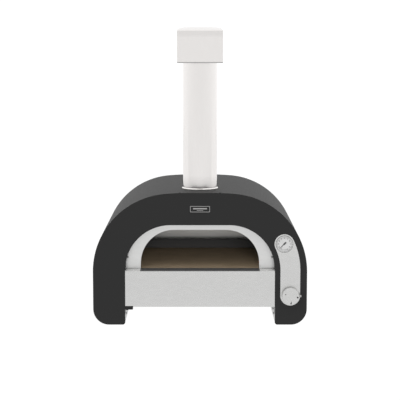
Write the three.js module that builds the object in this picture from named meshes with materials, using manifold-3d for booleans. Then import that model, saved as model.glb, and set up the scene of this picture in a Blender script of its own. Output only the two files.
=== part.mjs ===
// Portable pizza oven: an arched sheet steel body on two box legs, a stone floor heated by a gas
// burner at the back, a round flue with a folded cap, and a control strip on the right leg.
// Millimetres, Z up, front towards -Y, X to the right as seen from the front.
// The origin is the middle of the whole oven's footprint, on the ground.
import * as THREE from 'three';
import { mergeVertices } from 'three/addons/utils/BufferGeometryUtils.js';
import Module from 'manifold-3d';

const wasm = await Module();
wasm.setup();

// Sheets, gaps and cutters
const sheet = 2;
const gap = 0.3;
const overrun = 6;
const mergeTolerance = 1e-4;

// Body outline, seen from the front
const bodyWidth = 740;
const bodyDepth = 634;
const bodyHeight = 460;
const shoulderInset = 98;
const crownRadius = 998;
const crownFlatHalf = 38;
const footRadius = 55;
const heelRadius = 10;
const rearLipWidth = 26;
const reliefOffset = 69;
const reliefWidth = 6;
const reliefDepth = 3;

// Opening of the front frame, and the mouth set back in it
const faceBandSide = 110.8;
const faceBandTop = 111.3;
const openingSpring = 0.7;
const revealDepth = 50;
const mouthStepSide = 53.2;
const mouthStepTop = 24;
const mouthSpring = 19.2;
const mouthFlange = 12;

// Hearth and chamber
const hearthHeight = 190;
const underClearance = 64;
const panelLip = 20;
const chamberStepSide = 20;
const chamberStepTop = 20.3;
const chamberSpring = 17;
const rearSpace = 74;
const stoneThickness = 20;
const boardThickness = 18;
const trayRimWidth = 11;
const domeFootWidth = 28;
const blanketThickness = 45;
const rearBlanketThickness = 38;

// Flue and cap
const flueDiameter = 120;
const flueWall = 1.6;
const flueSetback = 155;
const flueHeight = 480;
const flueRingWidth = 4;
const flueRingThickness = 5;
const spigotHeight = 60;
const spigotFootWidth = 12;
const capOverhangSide = 19.2;
const capOverhangFront = 20;
const capDrop = 38.3;
const capSideHeight = 112.3;
const capCrown = 12.6;
const capHemHeight = 3.5;
const capHemProud = 1;
const capBarRise = 45;
const bracketWidth = 20;
const bracketTabLength = 14;
const bracketLegReach = 32;
const bracketEar = 8;

// Control strip on the right leg, from below the knob up to the thermometer
const knobInset = 58;
const knobZ = 104.5;
const gaugeEdge = 56;
const gaugeAngleDeg = 26.8;
const bendRise = 93;
const stripMargin = 4.3;
const stripFootDrop = 5.3;

// Gas knob and valve
const knobRadius = 31;
const knobThickness = 20;
const knobStandoff = 5;
const knobEdge = 1.5;
const knobFaceThickness = 5;
const lugReach = 9;
const lugWidth = 8.6;
const lugThickness = 9;
const lugAngleDeg = 2.6;
const markDepth = 0.6;
const markRadius = 1.6;
const offMarkShare = 0.82;
const offMarkDeg = -8.6;
const lowMarkShare = 0.61;
const lowMarkDeg = 159.5;
const spindleRadius = 3.8;
const spindlePush = 4;
const neckWall = 5.6;
const neckFlangeWidth = 5.3;
const neckFlangeThickness = 4;
const plugWall = 3.5;
const plugLength = 30;
const plugFloor = 4;
const valveWallSide = 9.8;
const valveWallTop = 11.8;
const valveWallBack = 16;

// Thermometer
const gaugeCaseRadius = 28.4;
const gaugeCaseDepth = 26;
const gaugeWall = 1.4;
const bezelOverlap = 1.6;
const bezelLip = 3.6;
const bezelThickness = 3;
const glassThickness = 1.5;
const dialThickness = 1;
const dialDrop = 2.2;
const needleTipMargin = 7.4;
const needleTail = 6;
const needleWidth = 2.2;
const needleThickness = 0.7;
const needleHubRadius = 2.4;
const needlePinRadius = 1.1;
const needlePinLength = 5;
const needleRestDeg = 225;

// Burner, at the back of the stone
const burnerToBack = 30;
const burnerToGuard = 30;
const burnerUnderside = 6;
const burnerRadius = 11;
const burnerWall = 1.5;
const burnerInset = 14;
const burnerOutReach = 36;
const guardOverBurner = 4;
const guardFoot = 8;
const portCount = 16;
const portWidth = 3;
const portLength = 7;
const burnerBracketInset = 36;
const burnerBracketFoot = 12;
const injectorLength = 18;
const injectorRadius = 8;
const probeToBurner = 6;
const probeOverBurner = 2;
const probeLength = 66;
const electrodeRadius = 3;
const electrodeTipRadius = 1;
const electrodeTipLength = 10;
const thermocoupleRadius = 2.5;

// Gas pipes and leads
const pipeRadius = 4;
const pipeWall = 1;
const leadRadius = 1.5;
const pipeBend = 16;
const leadBend = 9;
const portSpreadX = 9;
const portSpreadZ = 11;
const igniterLeadInset = 31;
const thermocoupleLeadOutset = 26;
const leadTurnBack = 30;
const bulbSetback = 120;
const bulbRise = 10;
const bulbRadius = 3;
const bulbLength = 56;

// Gas inlet on the rear panel
const inletRadius = 7;
const inletHexRim = 4;
const inletHexLength = 10;
const inletReach = 26;
const inletInnerLength = 12;
const inletShoulder = 1.5;
const tailWall = 1.2;
const tailBarb = 0.8;
const barbCount = 3;

// Vents, fasteners, brackets and badge
const ventCount = 7;
const ventPitch = 42;
const ventLength = 60;
const ventHeight = 5;
const ventRise = 22;
const screwHeadRadius = 4;
const screwHeadHeight = 2.2;
const screwShankRadius = 2;
const screwShankLength = 9;
const rearScrewInset = 15;
const rearScrewAnglesDeg = [18, 60];
const rearScrewRise = 6;
const legScrewDrop = 26;
const cornerSetback = 25;
const cornerLength = 35;
const cornerDrop = 36;
const cornerTab = 13;
const gussetWidth = 25;
const gussetHeight = 17;
const cornerScrewSetback = 12;
const mouthScrewInset = 4.5;
const mouthScrewRise = 42.6;
const badgeWidth = 68;
const badgeHeight = 21;
const badgeDrop = 55.8;
const badgeThickness = 0.8;
const badgeRim = 1.6;
const badgeRimHeight = 0.5;

// Facets
const archSteps = 14;
const footSteps = 5;
const crownSteps = 2;
const tubeSides = 40;
const smallSides = 20;
const screwSides = 12;
const pipeSides = 8;
const leadSides = 6;
const bendSteps = 4;
const crownCellsX = 12;
const crownCellsY = 6;

// Places worked out from the sizes above, the arches first
const bodyHalf = bodyWidth / 2;
const shoulderRadius = bodyHalf - shoulderInset;
const crownZ = bodyHeight - crownRadius;
const crownLean = Math.asin((shoulderInset - crownFlatHalf) / (crownRadius - shoulderRadius));
const shoulderZ = crownZ + (crownRadius - shoulderRadius) * Math.cos(crownLean);
const openingHalf = bodyHalf - faceBandSide;
const openingTop = bodyHeight - faceBandTop;
const openingRadius = openingTop - hearthHeight - openingSpring;
const mouthHalf = openingHalf - mouthStepSide;
const mouthTop = openingTop - mouthStepTop;
const mouthRadius = mouthTop - hearthHeight - mouthSpring;
const chamberHalf = mouthHalf + chamberStepSide;
const chamberTop = mouthTop + chamberStepTop;
const chamberRadius = chamberTop - hearthHeight - chamberSpring;
const chamberOuterTop = chamberTop + sheet;
const blanketInner = chamberHalf + sheet + gap;
const blanketOuter = blanketInner + blanketThickness;
const sideReach = blanketOuter + overrun;

// Depths behind the front face
const knobProud = sheet + gap + knobStandoff + knobThickness;
const frontFaceY = (knobProud - bodyDepth - inletReach) / 2;
const backFace = bodyDepth - sheet;
const trayFront = revealDepth + sheet + gap;
const chamberBack = bodyDepth - rearSpace;
const burnerSetback = chamberBack - burnerToBack;
const guardSetback = burnerSetback - burnerToGuard;
const lidFace = sheet + gap;
const valveFront = lidFace + neckFlangeThickness + gap;
const valveLength = plugLength + valveWallBack;
const valveBack = valveFront + valveLength;

// Legs and floor
const wallInner = openingHalf;
const wallOuter = openingHalf + sheet;
const fitHalf = openingHalf - gap;
const baseTop = underClearance + 2 * sheet + gap;
const stoneBottom = hearthHeight - stoneThickness;
const boardBottom = stoneBottom - gap - boardThickness;
const trayBottom = boardBottom - gap - sheet;
const wallTop = hearthHeight - sheet;

// Flue
const flueTop = bodyHeight + flueHeight;
const spigotRadius = flueDiameter / 2 - flueWall - gap;
const spigotInner = spigotRadius - flueWall;
const ringBottom = bodyHeight + gap;
const ringTop = ringBottom + flueRingThickness;
const fluePipeBottom = ringTop + gap;
const capWidth = flueDiameter + 2 * capOverhangSide;
const capDepth = flueDiameter + 2 * capOverhangFront;
const capBottom = flueTop - capDrop;
const capCrease = capBottom + capSideHeight;
const capBarHeight = flueTop + capBarRise;

// Controls
const knobX = bodyHalf - knobInset;
const knobSocketDepth = knobThickness - knobFaceThickness;
const neckRadius = spindleRadius + gap + neckWall;
const neckFlangeRadius = neckRadius + neckFlangeWidth;
const plugRadius = spindleRadius + gap + plugWall;
const valveWidth = 2 * (plugRadius + 2 * gap + valveWallSide);
const valveHeight = 2 * (plugRadius + 2 * gap + valveWallTop);
const gaugeAngle = THREE.MathUtils.degToRad(gaugeAngleDeg);
const gaugeX = shoulderInset + (shoulderRadius - gaugeEdge) * Math.cos(gaugeAngle);
const gaugeZ = shoulderZ + (shoulderRadius - gaugeEdge) * Math.sin(gaugeAngle);
const bendStart = gaugeZ - bendRise;
const bezelRadius = gaugeCaseRadius + bezelOverlap;
const needleLength = gaugeCaseRadius - needleTipMargin;
const stripHalfWidth = bezelRadius + stripMargin;

// Burner and probes
const burnerRise = burnerRadius + burnerUnderside;
const burnerZ = hearthHeight + burnerRise;
const guardHeight = burnerRise + burnerRadius + guardOverBurner;
const probeSpread = burnerRadius + probeToBurner;
const probeRise = burnerRadius + probeOverBurner;
const bulbHeight = hearthHeight + bulbRise;

// Inlet, screws and badge
const inletHexRadius = inletRadius + inletHexRim;
const tailRadius = pipeRadius - pipeWall + tailWall;
const ventZ = underClearance + ventRise;
const rearScrewLowZ = underClearance + rearScrewRise;
const legScrewZ = underClearance - legScrewDrop;
const mouthScrewZ = hearthHeight + mouthScrewRise;
const mouthScrewX = archHalfAt(openingHalf, openingTop, openingRadius, mouthScrewZ) - mouthScrewInset;
const badgeZ = bodyHeight - badgeDrop;

// Finishes, one for each kind of surface
const finishes = {
  anthracite: { color: '#333333', roughness: 0.62, metalness: 0.25 },
  satinSteel: { color: '#cdcdcc', roughness: 0.4, metalness: 0.85 },
  flueSteel: { color: '#e4e2e1', roughness: 0.35, metalness: 0.8 },
  domeSteel: { color: '#a9a9a8', roughness: 0.45, metalness: 0.85 },
  darkSteel: { color: '#2d2d2d', roughness: 0.7, metalness: 0.4 },
  stone: { color: '#6b5a45', roughness: 0.95, metalness: 0 },
  fibre: { color: '#e9e6dc', roughness: 1, metalness: 0 },
  brass: { color: '#b59a56', roughness: 0.4, metalness: 0.9 },
  ceramic: { color: '#ece8df', roughness: 0.5, metalness: 0 },
  copper: { color: '#a96f4c', roughness: 0.45, metalness: 0.9 },
  dial: { color: '#dadada', roughness: 0.6, metalness: 0 },
  needle: { color: '#262626', roughness: 0.5, metalness: 0 },
  glass: { color: '#f2f5f5', roughness: 0.05, metalness: 0 },
};

function piece(name, geometry, finish) {
  geometry.computeVertexNormals();
  const mesh = new THREE.Mesh(geometry, new THREE.MeshStandardMaterial(finishes[finish]));
  mesh.name = name;
  return mesh;
}

// Solids that can be cut and joined
function solidOf(geometry) {
  const bare = geometry.clone();
  bare.deleteAttribute('normal');
  bare.deleteAttribute('uv');
  const merged = mergeVertices(bare, mergeTolerance);
  return new wasm.Manifold(new wasm.Mesh({
    numProp: 3,
    vertProperties: new Float32Array(merged.attributes.position.array),
    triVerts: new Uint32Array(merged.index.array),
  }));
}

function geometryOf(solid) {
  const mesh = solid.getMesh();
  const geometry = new THREE.BufferGeometry();
  geometry.setAttribute('position', new THREE.BufferAttribute(mesh.vertProperties, 3));
  geometry.setIndex(new THREE.BufferAttribute(mesh.triVerts, 1));
  return geometry;
}

function joined(...geometries) {
  return geometryOf(geometries.map(solidOf).reduce((sum, next) => sum.add(next)));
}

function cut(geometry, ...cutters) {
  return geometryOf(cutters.map(solidOf).reduce((rest, next) => rest.subtract(next), solidOf(geometry)));
}

// Basic forms: y is the depth behind the front face, z the height
function block(x0, x1, y0, y1, z0, z1) {
  const geometry = new THREE.BoxGeometry(x1 - x0, y1 - y0, z1 - z0);
  geometry.translate((x0 + x1) / 2, (y0 + y1) / 2, (z0 + z1) / 2);
  return geometry;
}

// A flat plate with the outline given in x and z, from one depth to another
function plate(points, y0, y1) {
  const geometry = new THREE.ExtrudeGeometry(new THREE.Shape(points), {
    depth: y1 - y0,
    bevelEnabled: false,
  });
  geometry.rotateX(Math.PI / 2);
  geometry.translate(0, y1, 0);
  return geometry;
}

// A turned form from [radius, place along the axis] pairs, its outside running up the axis
function turned(profile, sides) {
  const points = profile.map(([radius, place]) => new THREE.Vector2(radius, place));
  return new THREE.LatheGeometry(points, sides);
}

function turnedAlongX(profile, sides, y, z) {
  const geometry = turned(profile, sides);
  geometry.rotateZ(-Math.PI / 2);
  geometry.translate(0, y, z);
  return geometry;
}

function turnedAlongZ(profile, sides) {
  const geometry = turned(profile, sides);
  geometry.rotateX(Math.PI / 2);
  return geometry;
}

function rodProfile(radius, from, to) {
  return [[0, from], [radius, from], [radius, to], [0, to]];
}

function ringProfile(inner, outer, from, to) {
  return [[inner, from], [outer, from], [outer, to], [inner, to], [inner, from]];
}

// Points of an arc in x and z, from one angle in degrees to another
function arc(x, z, radius, fromDeg, toDeg, steps) {
  const points = [];
  for (let step = 0; step <= steps; step += 1) {
    const angle = THREE.MathUtils.degToRad(fromDeg + (toDeg - fromDeg) * step / steps);
    points.push(new THREE.Vector2(x + radius * Math.cos(angle), z + radius * Math.sin(angle)));
  }
  return points;
}

// The body's outline from the left foot over the arch to the right foot, drawn inwards by an inset
function bodyPath(inset) {
  const leanDeg = THREE.MathUtils.radToDeg(crownLean);
  const footX = bodyHalf - footRadius;
  const foot = footRadius - inset;
  const shoulder = shoulderRadius - inset;
  const crown = crownRadius - inset;
  return [
    ...arc(-footX, footRadius, foot, 270, 180, footSteps),
    ...arc(-shoulderInset, shoulderZ, shoulder, 180, 90 + leanDeg, archSteps),
    ...arc(-crownFlatHalf, crownZ, crown, 90 + leanDeg, 90, crownSteps).slice(1),
    ...arc(crownFlatHalf, crownZ, crown, 90, 90 - leanDeg, crownSteps),
    ...arc(shoulderInset, shoulderZ, shoulder, 90 - leanDeg, 0, archSteps).slice(1),
    ...arc(footX, footRadius, foot, 0, -90, footSteps),
  ];
}

// A flat topped arch from its left foot to its right foot
function archPath(half, top, radius, foot) {
  const corner = half - radius;
  return [
    new THREE.Vector2(-half, foot),
    ...arc(-corner, top - radius, radius, 180, 90, archSteps),
    ...arc(corner, top - radius, radius, 90, 0, archSteps),
    new THREE.Vector2(half, foot),
  ];
}

// Half the width of such an arch at a height, narrowing above its spring
function archHalfAt(half, top, radius, z) {
  const rise = Math.max(z - top + radius, 0);
  return half - radius + Math.sqrt(radius ** 2 - rise ** 2);
}

// An arch shaped band between an inner arch and the same arch drawn outwards
function archBand(half, top, radius, thickness, foot, y0, y1) {
  const outer = archPath(half + thickness, top + thickness, radius + thickness, foot);
  const inner = archPath(half, top, radius, foot).reverse();
  return plate([...outer, ...inner], y0, y1);
}

function archPlate(half, top, radius, foot, y0, y1) {
  return plate(archPath(half, top, radius, foot), y0, y1);
}

function corners(...pairs) {
  return pairs.map(([x, z]) => new THREE.Vector2(x, z));
}

// Holes for what passes through the right wall of the chamber: burner, probes and bulb
function sideHoles() {
  const from = chamberHalf - overrun;
  const hole = (radius, y, z) => turnedAlongX(rodProfile(radius + gap, from, sideReach), smallSides, y, z);
  return [
    hole(burnerRadius, burnerSetback, burnerZ),
    hole(electrodeRadius, burnerSetback - probeSpread, burnerZ + probeRise),
    hole(thermocoupleRadius, burnerSetback + probeSpread, burnerZ + probeRise),
    hole(bulbRadius, bulbSetback, bulbHeight),
  ];
}

function flueHole(radius, z0, z1) {
  const geometry = turnedAlongZ(rodProfile(radius, z0, z1), tubeSides);
  geometry.translate(0, flueSetback, 0);
  return geometry;
}

// Body
function makeOuterShell() {
  const y0 = sheet + gap;
  const y1 = backFace - gap;
  const end = wallOuter + gap;
  const outer = [...corners([-end, 0]), ...bodyPath(0), ...corners([end, 0])];
  const inner = [...corners([end, sheet]), ...bodyPath(sheet).reverse(), ...corners([-end, sheet])];
  const lipInner = [
    ...corners([end, rearLipWidth]),
    ...bodyPath(rearLipWidth).reverse(),
    ...corners([-end, rearLipWidth]),
  ];
  const band = plate([...outer, ...inner], y0, y1);
  const lip = plate([...outer, ...lipInner], y1 - sheet, y1);
  const relief = (x) => block(x - reliefWidth / 2, x + reliefWidth / 2, y0 - overrun, y0 + reliefDepth,
    bodyHeight - 2 * sheet, bodyHeight + overrun);
  const shell = cut(joined(band, lip), relief(-reliefOffset), relief(reliefOffset),
    flueHole(spigotRadius + gap, bodyHeight - overrun, bodyHeight + overrun),
    ...rearScrewPlaces().map(([x, z]) => screwHole(x, y1, z)));
  return piece('outer_shell', shell, 'anthracite');
}

// The face of the body and of both legs, with a collar behind the edge of its opening
function makeFrontFrame() {
  const heelX = openingHalf + heelRadius;
  const face = [
    ...arc(-heelX, heelRadius, heelRadius, 360, 270, footSteps),
    ...bodyPath(0),
    ...arc(heelX, heelRadius, heelRadius, 270, 180, footSteps),
    ...archPath(openingHalf, openingTop, openingRadius, heelRadius).reverse().slice(1, -1),
  ];
  const collar = archBand(openingHalf, openingTop, openingRadius, sheet, hearthHeight + gap, 0,
    revealDepth - gap);
  const hole = (radius, x, z) => {
    const geometry = turned(rodProfile(radius, -overrun, sheet + overrun), tubeSides);
    geometry.translate(x, 0, z);
    return geometry;
  };
  const frame = cut(joined(plate(face, 0, sheet), collar), hole(neckRadius + gap, knobX, knobZ),
    hole(gaugeCaseRadius + gap, gaugeX, gaugeZ));
  return piece('front_frame', frame, 'anthracite');
}

// The back plate closes the arch and the box; the space between the legs stays open
function makeRearPanel() {
  const heelX = openingHalf + heelRadius;
  const outline = [
    ...arc(-heelX, heelRadius, heelRadius, 360, 270, footSteps),
    ...bodyPath(0),
    ...arc(heelX, heelRadius, heelRadius, 270, 180, footSteps),
    ...corners([openingHalf, underClearance], [-openingHalf, underClearance]),
  ];
  const y0 = backFace - overrun;
  const y1 = bodyDepth + overrun;
  const vents = [];
  for (let index = 0; index < ventCount; index += 1) {
    const x = (index - (ventCount - 1) / 2) * ventPitch;
    vents.push(block(x - ventHeight / 2, x + ventHeight / 2, y0, y1, ventZ, ventZ + ventLength));
  }
  const inletHole = turned(rodProfile(inletRadius + gap, y0, y1), smallSides);
  inletHole.translate(knobX + portSpreadX, 0, knobZ - portSpreadZ);
  const lipFront = bodyDepth - panelLip;
  const lip = block(-fitHalf, fitHalf, lipFront, bodyDepth, underClearance, underClearance + sheet);
  const panel = cut(joined(plate(outline, backFace, bodyDepth), lip), inletHole, ...vents,
    ...rearScrewPlaces().map(([x, z]) => screwHole(x, bodyDepth, z)));
  return piece('rear_panel', panel, 'anthracite');
}

// Inner walls of the legs, each with a foot turned under its leg
function makeLegWall(name, side) {
  const foot = sheet + gap;
  const outline = corners([wallInner * side, gap], [wallOuter * side, gap], [wallOuter * side, wallTop],
    [wallInner * side, wallTop]);
  const toe = [wallInner * side, (wallOuter + cornerTab) * side].sort((a, b) => a - b);
  const wall = joined(plate(outline, sheet + gap, backFace - gap),
    block(toe[0], toe[1], sheet + gap, backFace - gap - 2 * sheet, foot, foot + sheet));
  return piece(name, cut(wall, sideScrewHole(side)), 'satinSteel');
}

function makeBasePlate() {
  const geometry = block(-fitHalf, fitHalf, sheet + gap, backFace - gap, baseTop - sheet, baseTop);
  return piece('base_plate', geometry, 'satinSteel');
}

// Hearth
function makeLowerFrontPanel() {
  const face = block(-fitHalf, fitHalf, 0, sheet, underClearance, hearthHeight);
  const lip = block(-fitHalf, fitHalf, 0, panelLip, underClearance, underClearance + sheet);
  const ear = (from, to) => block(from, to, 0, revealDepth + sheet, hearthHeight - sheet, hearthHeight);
  const inner = mouthHalf + gap;
  const geometry = joined(face, lip, ear(-fitHalf, -inner), ear(inner, fitHalf));
  return piece('lower_front_panel', geometry, 'satinSteel');
}

function makeHearthStrip() {
  const z0 = hearthHeight - sheet;
  const top = block(-mouthHalf, mouthHalf, sheet + gap, revealDepth + sheet, z0, hearthHeight);
  const apron = block(-mouthHalf, mouthHalf, revealDepth, revealDepth + sheet, trayBottom, hearthHeight);
  return piece('hearth_strip', joined(top, apron), 'darkSteel');
}

function makeMouthPlate() {
  const foot = hearthHeight + gap;
  const flange = mouthFlange;
  const outer = archPath(openingHalf + flange, openingTop + flange, openingRadius + flange, foot);
  const inner = archPath(mouthHalf, mouthTop, mouthRadius, foot).reverse();
  const holes = [-1, 1].map((side) => screwHole(mouthScrewX * side, revealDepth, mouthScrewZ));
  const geometry = cut(plate([...outer, ...inner], revealDepth, revealDepth + sheet), ...holes);
  return piece('mouth_plate', geometry, 'satinSteel');
}

// The tray hangs by its rims on the two leg walls
function makeFloorTray() {
  const rim = wallTop + gap + sheet;
  const side = (sign) => {
    const geometry = [
      [(fitHalf - sheet) * sign, fitHalf * sign, trayBottom, rim],
      [(fitHalf - sheet) * sign, (fitHalf + trayRimWidth) * sign, rim - sheet, rim],
    ];
    return geometry.map(([a, b, z0, z1]) => block(Math.min(a, b), Math.max(a, b), trayFront,
      chamberBack + sheet + gap, z0, z1));
  };
  const floor = block(-fitHalf, fitHalf, trayFront, chamberBack + 2 * sheet, trayBottom, trayBottom + sheet);
  const front = block(-chamberHalf + gap, chamberHalf - gap, trayFront, trayFront + sheet, trayBottom,
    hearthHeight);
  const backHalf = fitHalf - sheet / 2;
  const rear = block(-backHalf, backHalf, chamberBack + sheet + gap, chamberBack + 2 * sheet + gap,
    trayBottom, rim - sheet);
  return piece('floor_tray', joined(floor, front, rear, ...side(-1), ...side(1)), 'domeSteel');
}

function makeFloorBoard() {
  const half = fitHalf - sheet - gap;
  const geometry = block(-half, half, trayFront + sheet + gap, chamberBack + sheet, boardBottom,
    boardBottom + boardThickness);
  return piece('floor_insulation_board', geometry, 'fibre');
}

function makeStone() {
  const half = chamberHalf - gap;
  const geometry = block(-half, half, trayFront + sheet + gap, chamberBack - gap, stoneBottom, hearthHeight);
  return piece('refractory_stone', geometry, 'stone');
}

// Steel vault over the stone, its feet turned outwards on the board
function makeDome() {
  const y0 = trayFront;
  const y1 = chamberBack - gap;
  const vault = archBand(chamberHalf, chamberTop, chamberRadius, sheet, stoneBottom, y0, y1);
  const footEnd = chamberHalf + domeFootWidth;
  const foot = (from, to) => block(from, to, y0 + sheet + gap, y1, stoneBottom, stoneBottom + sheet);
  const geometry = cut(
    joined(vault, foot(-footEnd, -chamberHalf), foot(chamberHalf, footEnd)),
    flueHole(spigotRadius + gap, chamberTop - overrun, chamberOuterTop + overrun),
    ...sideHoles(),
  );
  return piece('inner_dome', geometry, 'domeSteel');
}

function makeDomeBack() {
  const geometry = archPlate(chamberHalf + sheet, chamberOuterTop, chamberRadius + sheet, stoneBottom,
    chamberBack, chamberBack + sheet);
  return piece('dome_back', geometry, 'domeSteel');
}

// The blanket starts behind the tips of the mouth screws
function makeDomeBlanket() {
  const front = revealDepth + screwShankLength + gap;
  const band = archBand(blanketInner, chamberOuterTop + gap, chamberRadius + sheet + gap, blanketThickness,
    hearthHeight + 2 * gap, front, chamberBack + sheet);
  const top = chamberTop + blanketThickness + overrun;
  const hole = flueHole(spigotRadius + spigotFootWidth + gap, chamberTop, top);
  return piece('dome_blanket', cut(band, hole, ...sideHoles()), 'fibre');
}

function makeRearBlanket() {
  const y0 = chamberBack + sheet + gap;
  const geometry = archPlate(blanketOuter, chamberOuterTop + gap + blanketThickness,
    chamberRadius + sheet + gap + blanketThickness, hearthHeight + 2 * gap, y0, y0 + rearBlanketThickness);
  return piece('rear_blanket', geometry, 'fibre');
}

// Flue: a spigot on the vault passes the shell, and the pipe slips over it down to the ring
function makeFlueCollar() {
  const foot = chamberOuterTop + gap;
  const top = ringTop + spigotHeight;
  const geometry = turnedAlongZ([
    [spigotInner, chamberTop],
    [spigotRadius, chamberTop],
    [spigotRadius, foot],
    [spigotRadius + spigotFootWidth, foot],
    [spigotRadius + spigotFootWidth, foot + sheet],
    [spigotRadius, foot + sheet],
    [spigotRadius, top],
    [spigotInner, top],
    [spigotInner, chamberTop],
  ], tubeSides);
  return piece('flue_collar', geometry, 'domeSteel');
}

function makeFlueRing() {
  const inner = spigotRadius + gap;
  const outer = flueDiameter / 2 + flueRingWidth;
  const slope = sheet / 2;
  const geometry = turnedAlongZ([
    [inner, ringBottom],
    [outer - slope, ringBottom],
    [outer, ringBottom + slope],
    [outer, ringTop - slope],
    [outer - slope, ringTop],
    [inner, ringTop],
    [inner, ringBottom],
  ], tubeSides);
  return piece('flue_ring', geometry, 'flueSteel');
}

function makeFluePipe() {
  const outer = flueDiameter / 2;
  const geometry = turnedAlongZ(ringProfile(outer - flueWall, outer, fluePipeBottom, flueTop), tubeSides);
  return piece('flue_pipe', geometry, 'flueSteel');
}

// A block whose top swells up from its four straight edges
function crownedBlock(halfWidth, depth, bottom, crease) {
  const stations = [-halfWidth - overrun];
  for (let cell = 0; cell <= crownCellsX; cell += 1) {
    stations.push(capWidth * (cell / crownCellsX - 1 / 2));
  }
  stations.push(halfWidth + overrun);
  const used = halfWidth * 2 > capWidth ? stations : stations.slice(1, -1);
  const cells = used.length - 1;
  const geometry = new THREE.BoxGeometry(1, depth, 1, cells, crownCellsY, 1);
  const position = geometry.attributes.position;
  for (let index = 0; index < position.count; index += 1) {
    const x = used[Math.round((position.getX(index) + 1 / 2) * cells)];
    const across = Math.min(Math.abs(2 * x / capWidth), 1);
    const along = 2 * position.getY(index) / depth;
    const swell = Math.cbrt(1 - across ** 3) * (1 - along ** 2);
    const top = position.getZ(index) > 0;
    position.setXYZ(index, x, position.getY(index), top ? crease + capCrown * swell : bottom);
  }
  return geometry;
}

// Hood of folded sheet, open below and at both ends, with a hem along its two lower edges
function makeFlueCap() {
  const half = capWidth / 2;
  const outer = crownedBlock(half, capDepth, capBottom, capCrease);
  const inner = crownedBlock(half + overrun, capDepth - 2 * sheet, capBottom - overrun, capCrease - sheet);
  const hem = (side) => {
    const face = capDepth / 2 * side;
    const ends = [face + capHemProud * side, face - sheet * side].sort((a, b) => a - b);
    return block(-half, half, ends[0], ends[1], capBottom, capBottom + capHemHeight);
  };
  return piece('flue_cap', joined(cut(outer, inner), hem(-1), hem(1)), 'flueSteel');
}

// Flat strap that carries the cap: its legs stand in the pipe and its ears rest on the pipe's rim
function makeCapBracket() {
  const half = bracketWidth / 2;
  const reach = capDepth / 2 - sheet - gap;
  const bore = flueDiameter / 2 - flueWall;
  const leg = Math.sqrt(bore ** 2 - half ** 2) - 2 * gap;
  const ear = flueTop + gap;
  const bar = block(-half, half, -reach, reach, capBarHeight - sheet, capBarHeight);
  const parts = [bar];
  for (const side of [-1, 1]) {
    const strip = (a, b, z0, z1) => block(-half, half, Math.min(a * side, b * side),
      Math.max(a * side, b * side), z0, z1);
    parts.push(strip(reach - sheet, reach, capBarHeight - bracketTabLength, capBarHeight));
    parts.push(strip(leg - sheet, leg, flueTop - bracketLegReach, capBarHeight));
    parts.push(strip(leg - sheet, leg + bracketEar, ear, ear + sheet));
  }
  return piece('cap_bracket', joined(...parts), 'domeSteel');
}

// Control strip: straight up past the knob, then bent along the arch to the thermometer
function stripCentreLine() {
  const run = knobX - gaugeX;
  const radius = (run ** 2 + bendRise ** 2) / (2 * run);
  const sweepDeg = THREE.MathUtils.radToDeg(Math.asin(bendRise / radius));
  return { radius, sweepDeg, x: knobX - radius };
}

function makeControlPlate() {
  const { radius, sweepDeg, x } = stripCentreLine();
  const half = stripHalfWidth;
  const outline = [
    ...arc(knobX, knobZ - stripFootDrop, half, 180, 360, smallSides),
    ...arc(x, bendStart, radius + half, 0, sweepDeg, archSteps),
    ...arc(gaugeX, gaugeZ, half, sweepDeg, sweepDeg + 180, smallSides).slice(1, -1),
    ...arc(x, bendStart, radius - half, sweepDeg, 0, archSteps),
  ];
  const hole = (r, hx, hz) => {
    const geometry = turned(rodProfile(r, -sheet - overrun, overrun), tubeSides);
    geometry.translate(hx, 0, hz);
    return geometry;
  };
  const geometry = cut(plate(outline, -sheet, -gap), hole(neckRadius + gap, knobX, knobZ),
    hole(gaugeCaseRadius + gap, gaugeX, gaugeZ));
  return piece('control_plate', geometry, 'satinSteel');
}

// Gas knob and valve, around the knob's own axis
function makeKnob() {
  const back = -sheet - gap - knobStandoff;
  const face = back - knobThickness;
  const socket = spindleRadius + gap;
  const disc = turned([
    [0, face],
    [knobRadius - knobEdge, face],
    [knobRadius, face + knobEdge],
    [knobRadius, back],
    [socket, back],
    [socket, back - knobSocketDepth],
    [0, back - knobSocketDepth],
  ], tubeSides);
  const lug = block(knobRadius - 2 * knobEdge, knobRadius + lugReach, face + knobEdge,
    face + knobEdge + lugThickness, -lugWidth / 2, lugWidth / 2);
  lug.rotateY(-THREE.MathUtils.degToRad(lugAngleDeg));
  const dimple = (share, degrees) => {
    const angle = THREE.MathUtils.degToRad(degrees);
    const geometry = turned(rodProfile(markRadius, face - overrun, face + markDepth), screwSides);
    geometry.translate(knobRadius * share * Math.cos(angle), 0, knobRadius * share * Math.sin(angle));
    return geometry;
  };
  const marks = [dimple(offMarkShare, offMarkDeg), dimple(lowMarkShare, lowMarkDeg)];
  return piece('gas_knob', cut(joined(disc, lug), ...marks), 'satinSteel');
}

function makeSpindle() {
  const front = -sheet - gap - knobStandoff - knobSocketDepth;
  const end = valveFront + plugLength - plugFloor - spindlePush - gap;
  return piece('valve_spindle', turned(rodProfile(spindleRadius, front + gap, end), smallSides), 'brass');
}

function makeValveNeck() {
  const inner = spindleRadius + gap;
  const geometry = turned([
    [inner, -sheet],
    [neckRadius, -sheet],
    [neckRadius, lidFace],
    [neckFlangeRadius, lidFace],
    [neckFlangeRadius, lidFace + neckFlangeThickness],
    [inner, lidFace + neckFlangeThickness],
    [inner, -sheet],
  ], smallSides);
  return piece('valve_neck', geometry, 'brass');
}

function makeValvePlug() {
  const inner = spindleRadius + gap;
  const front = valveFront + gap;
  const back = front + plugLength;
  const geometry = turned([
    [inner, front],
    [plugRadius, front],
    [plugRadius, back],
    [0, back],
    [0, back - plugFloor],
    [inner, back - plugFloor],
    [inner, front],
  ], smallSides);
  return piece('valve_plug', geometry, 'brass');
}

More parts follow.
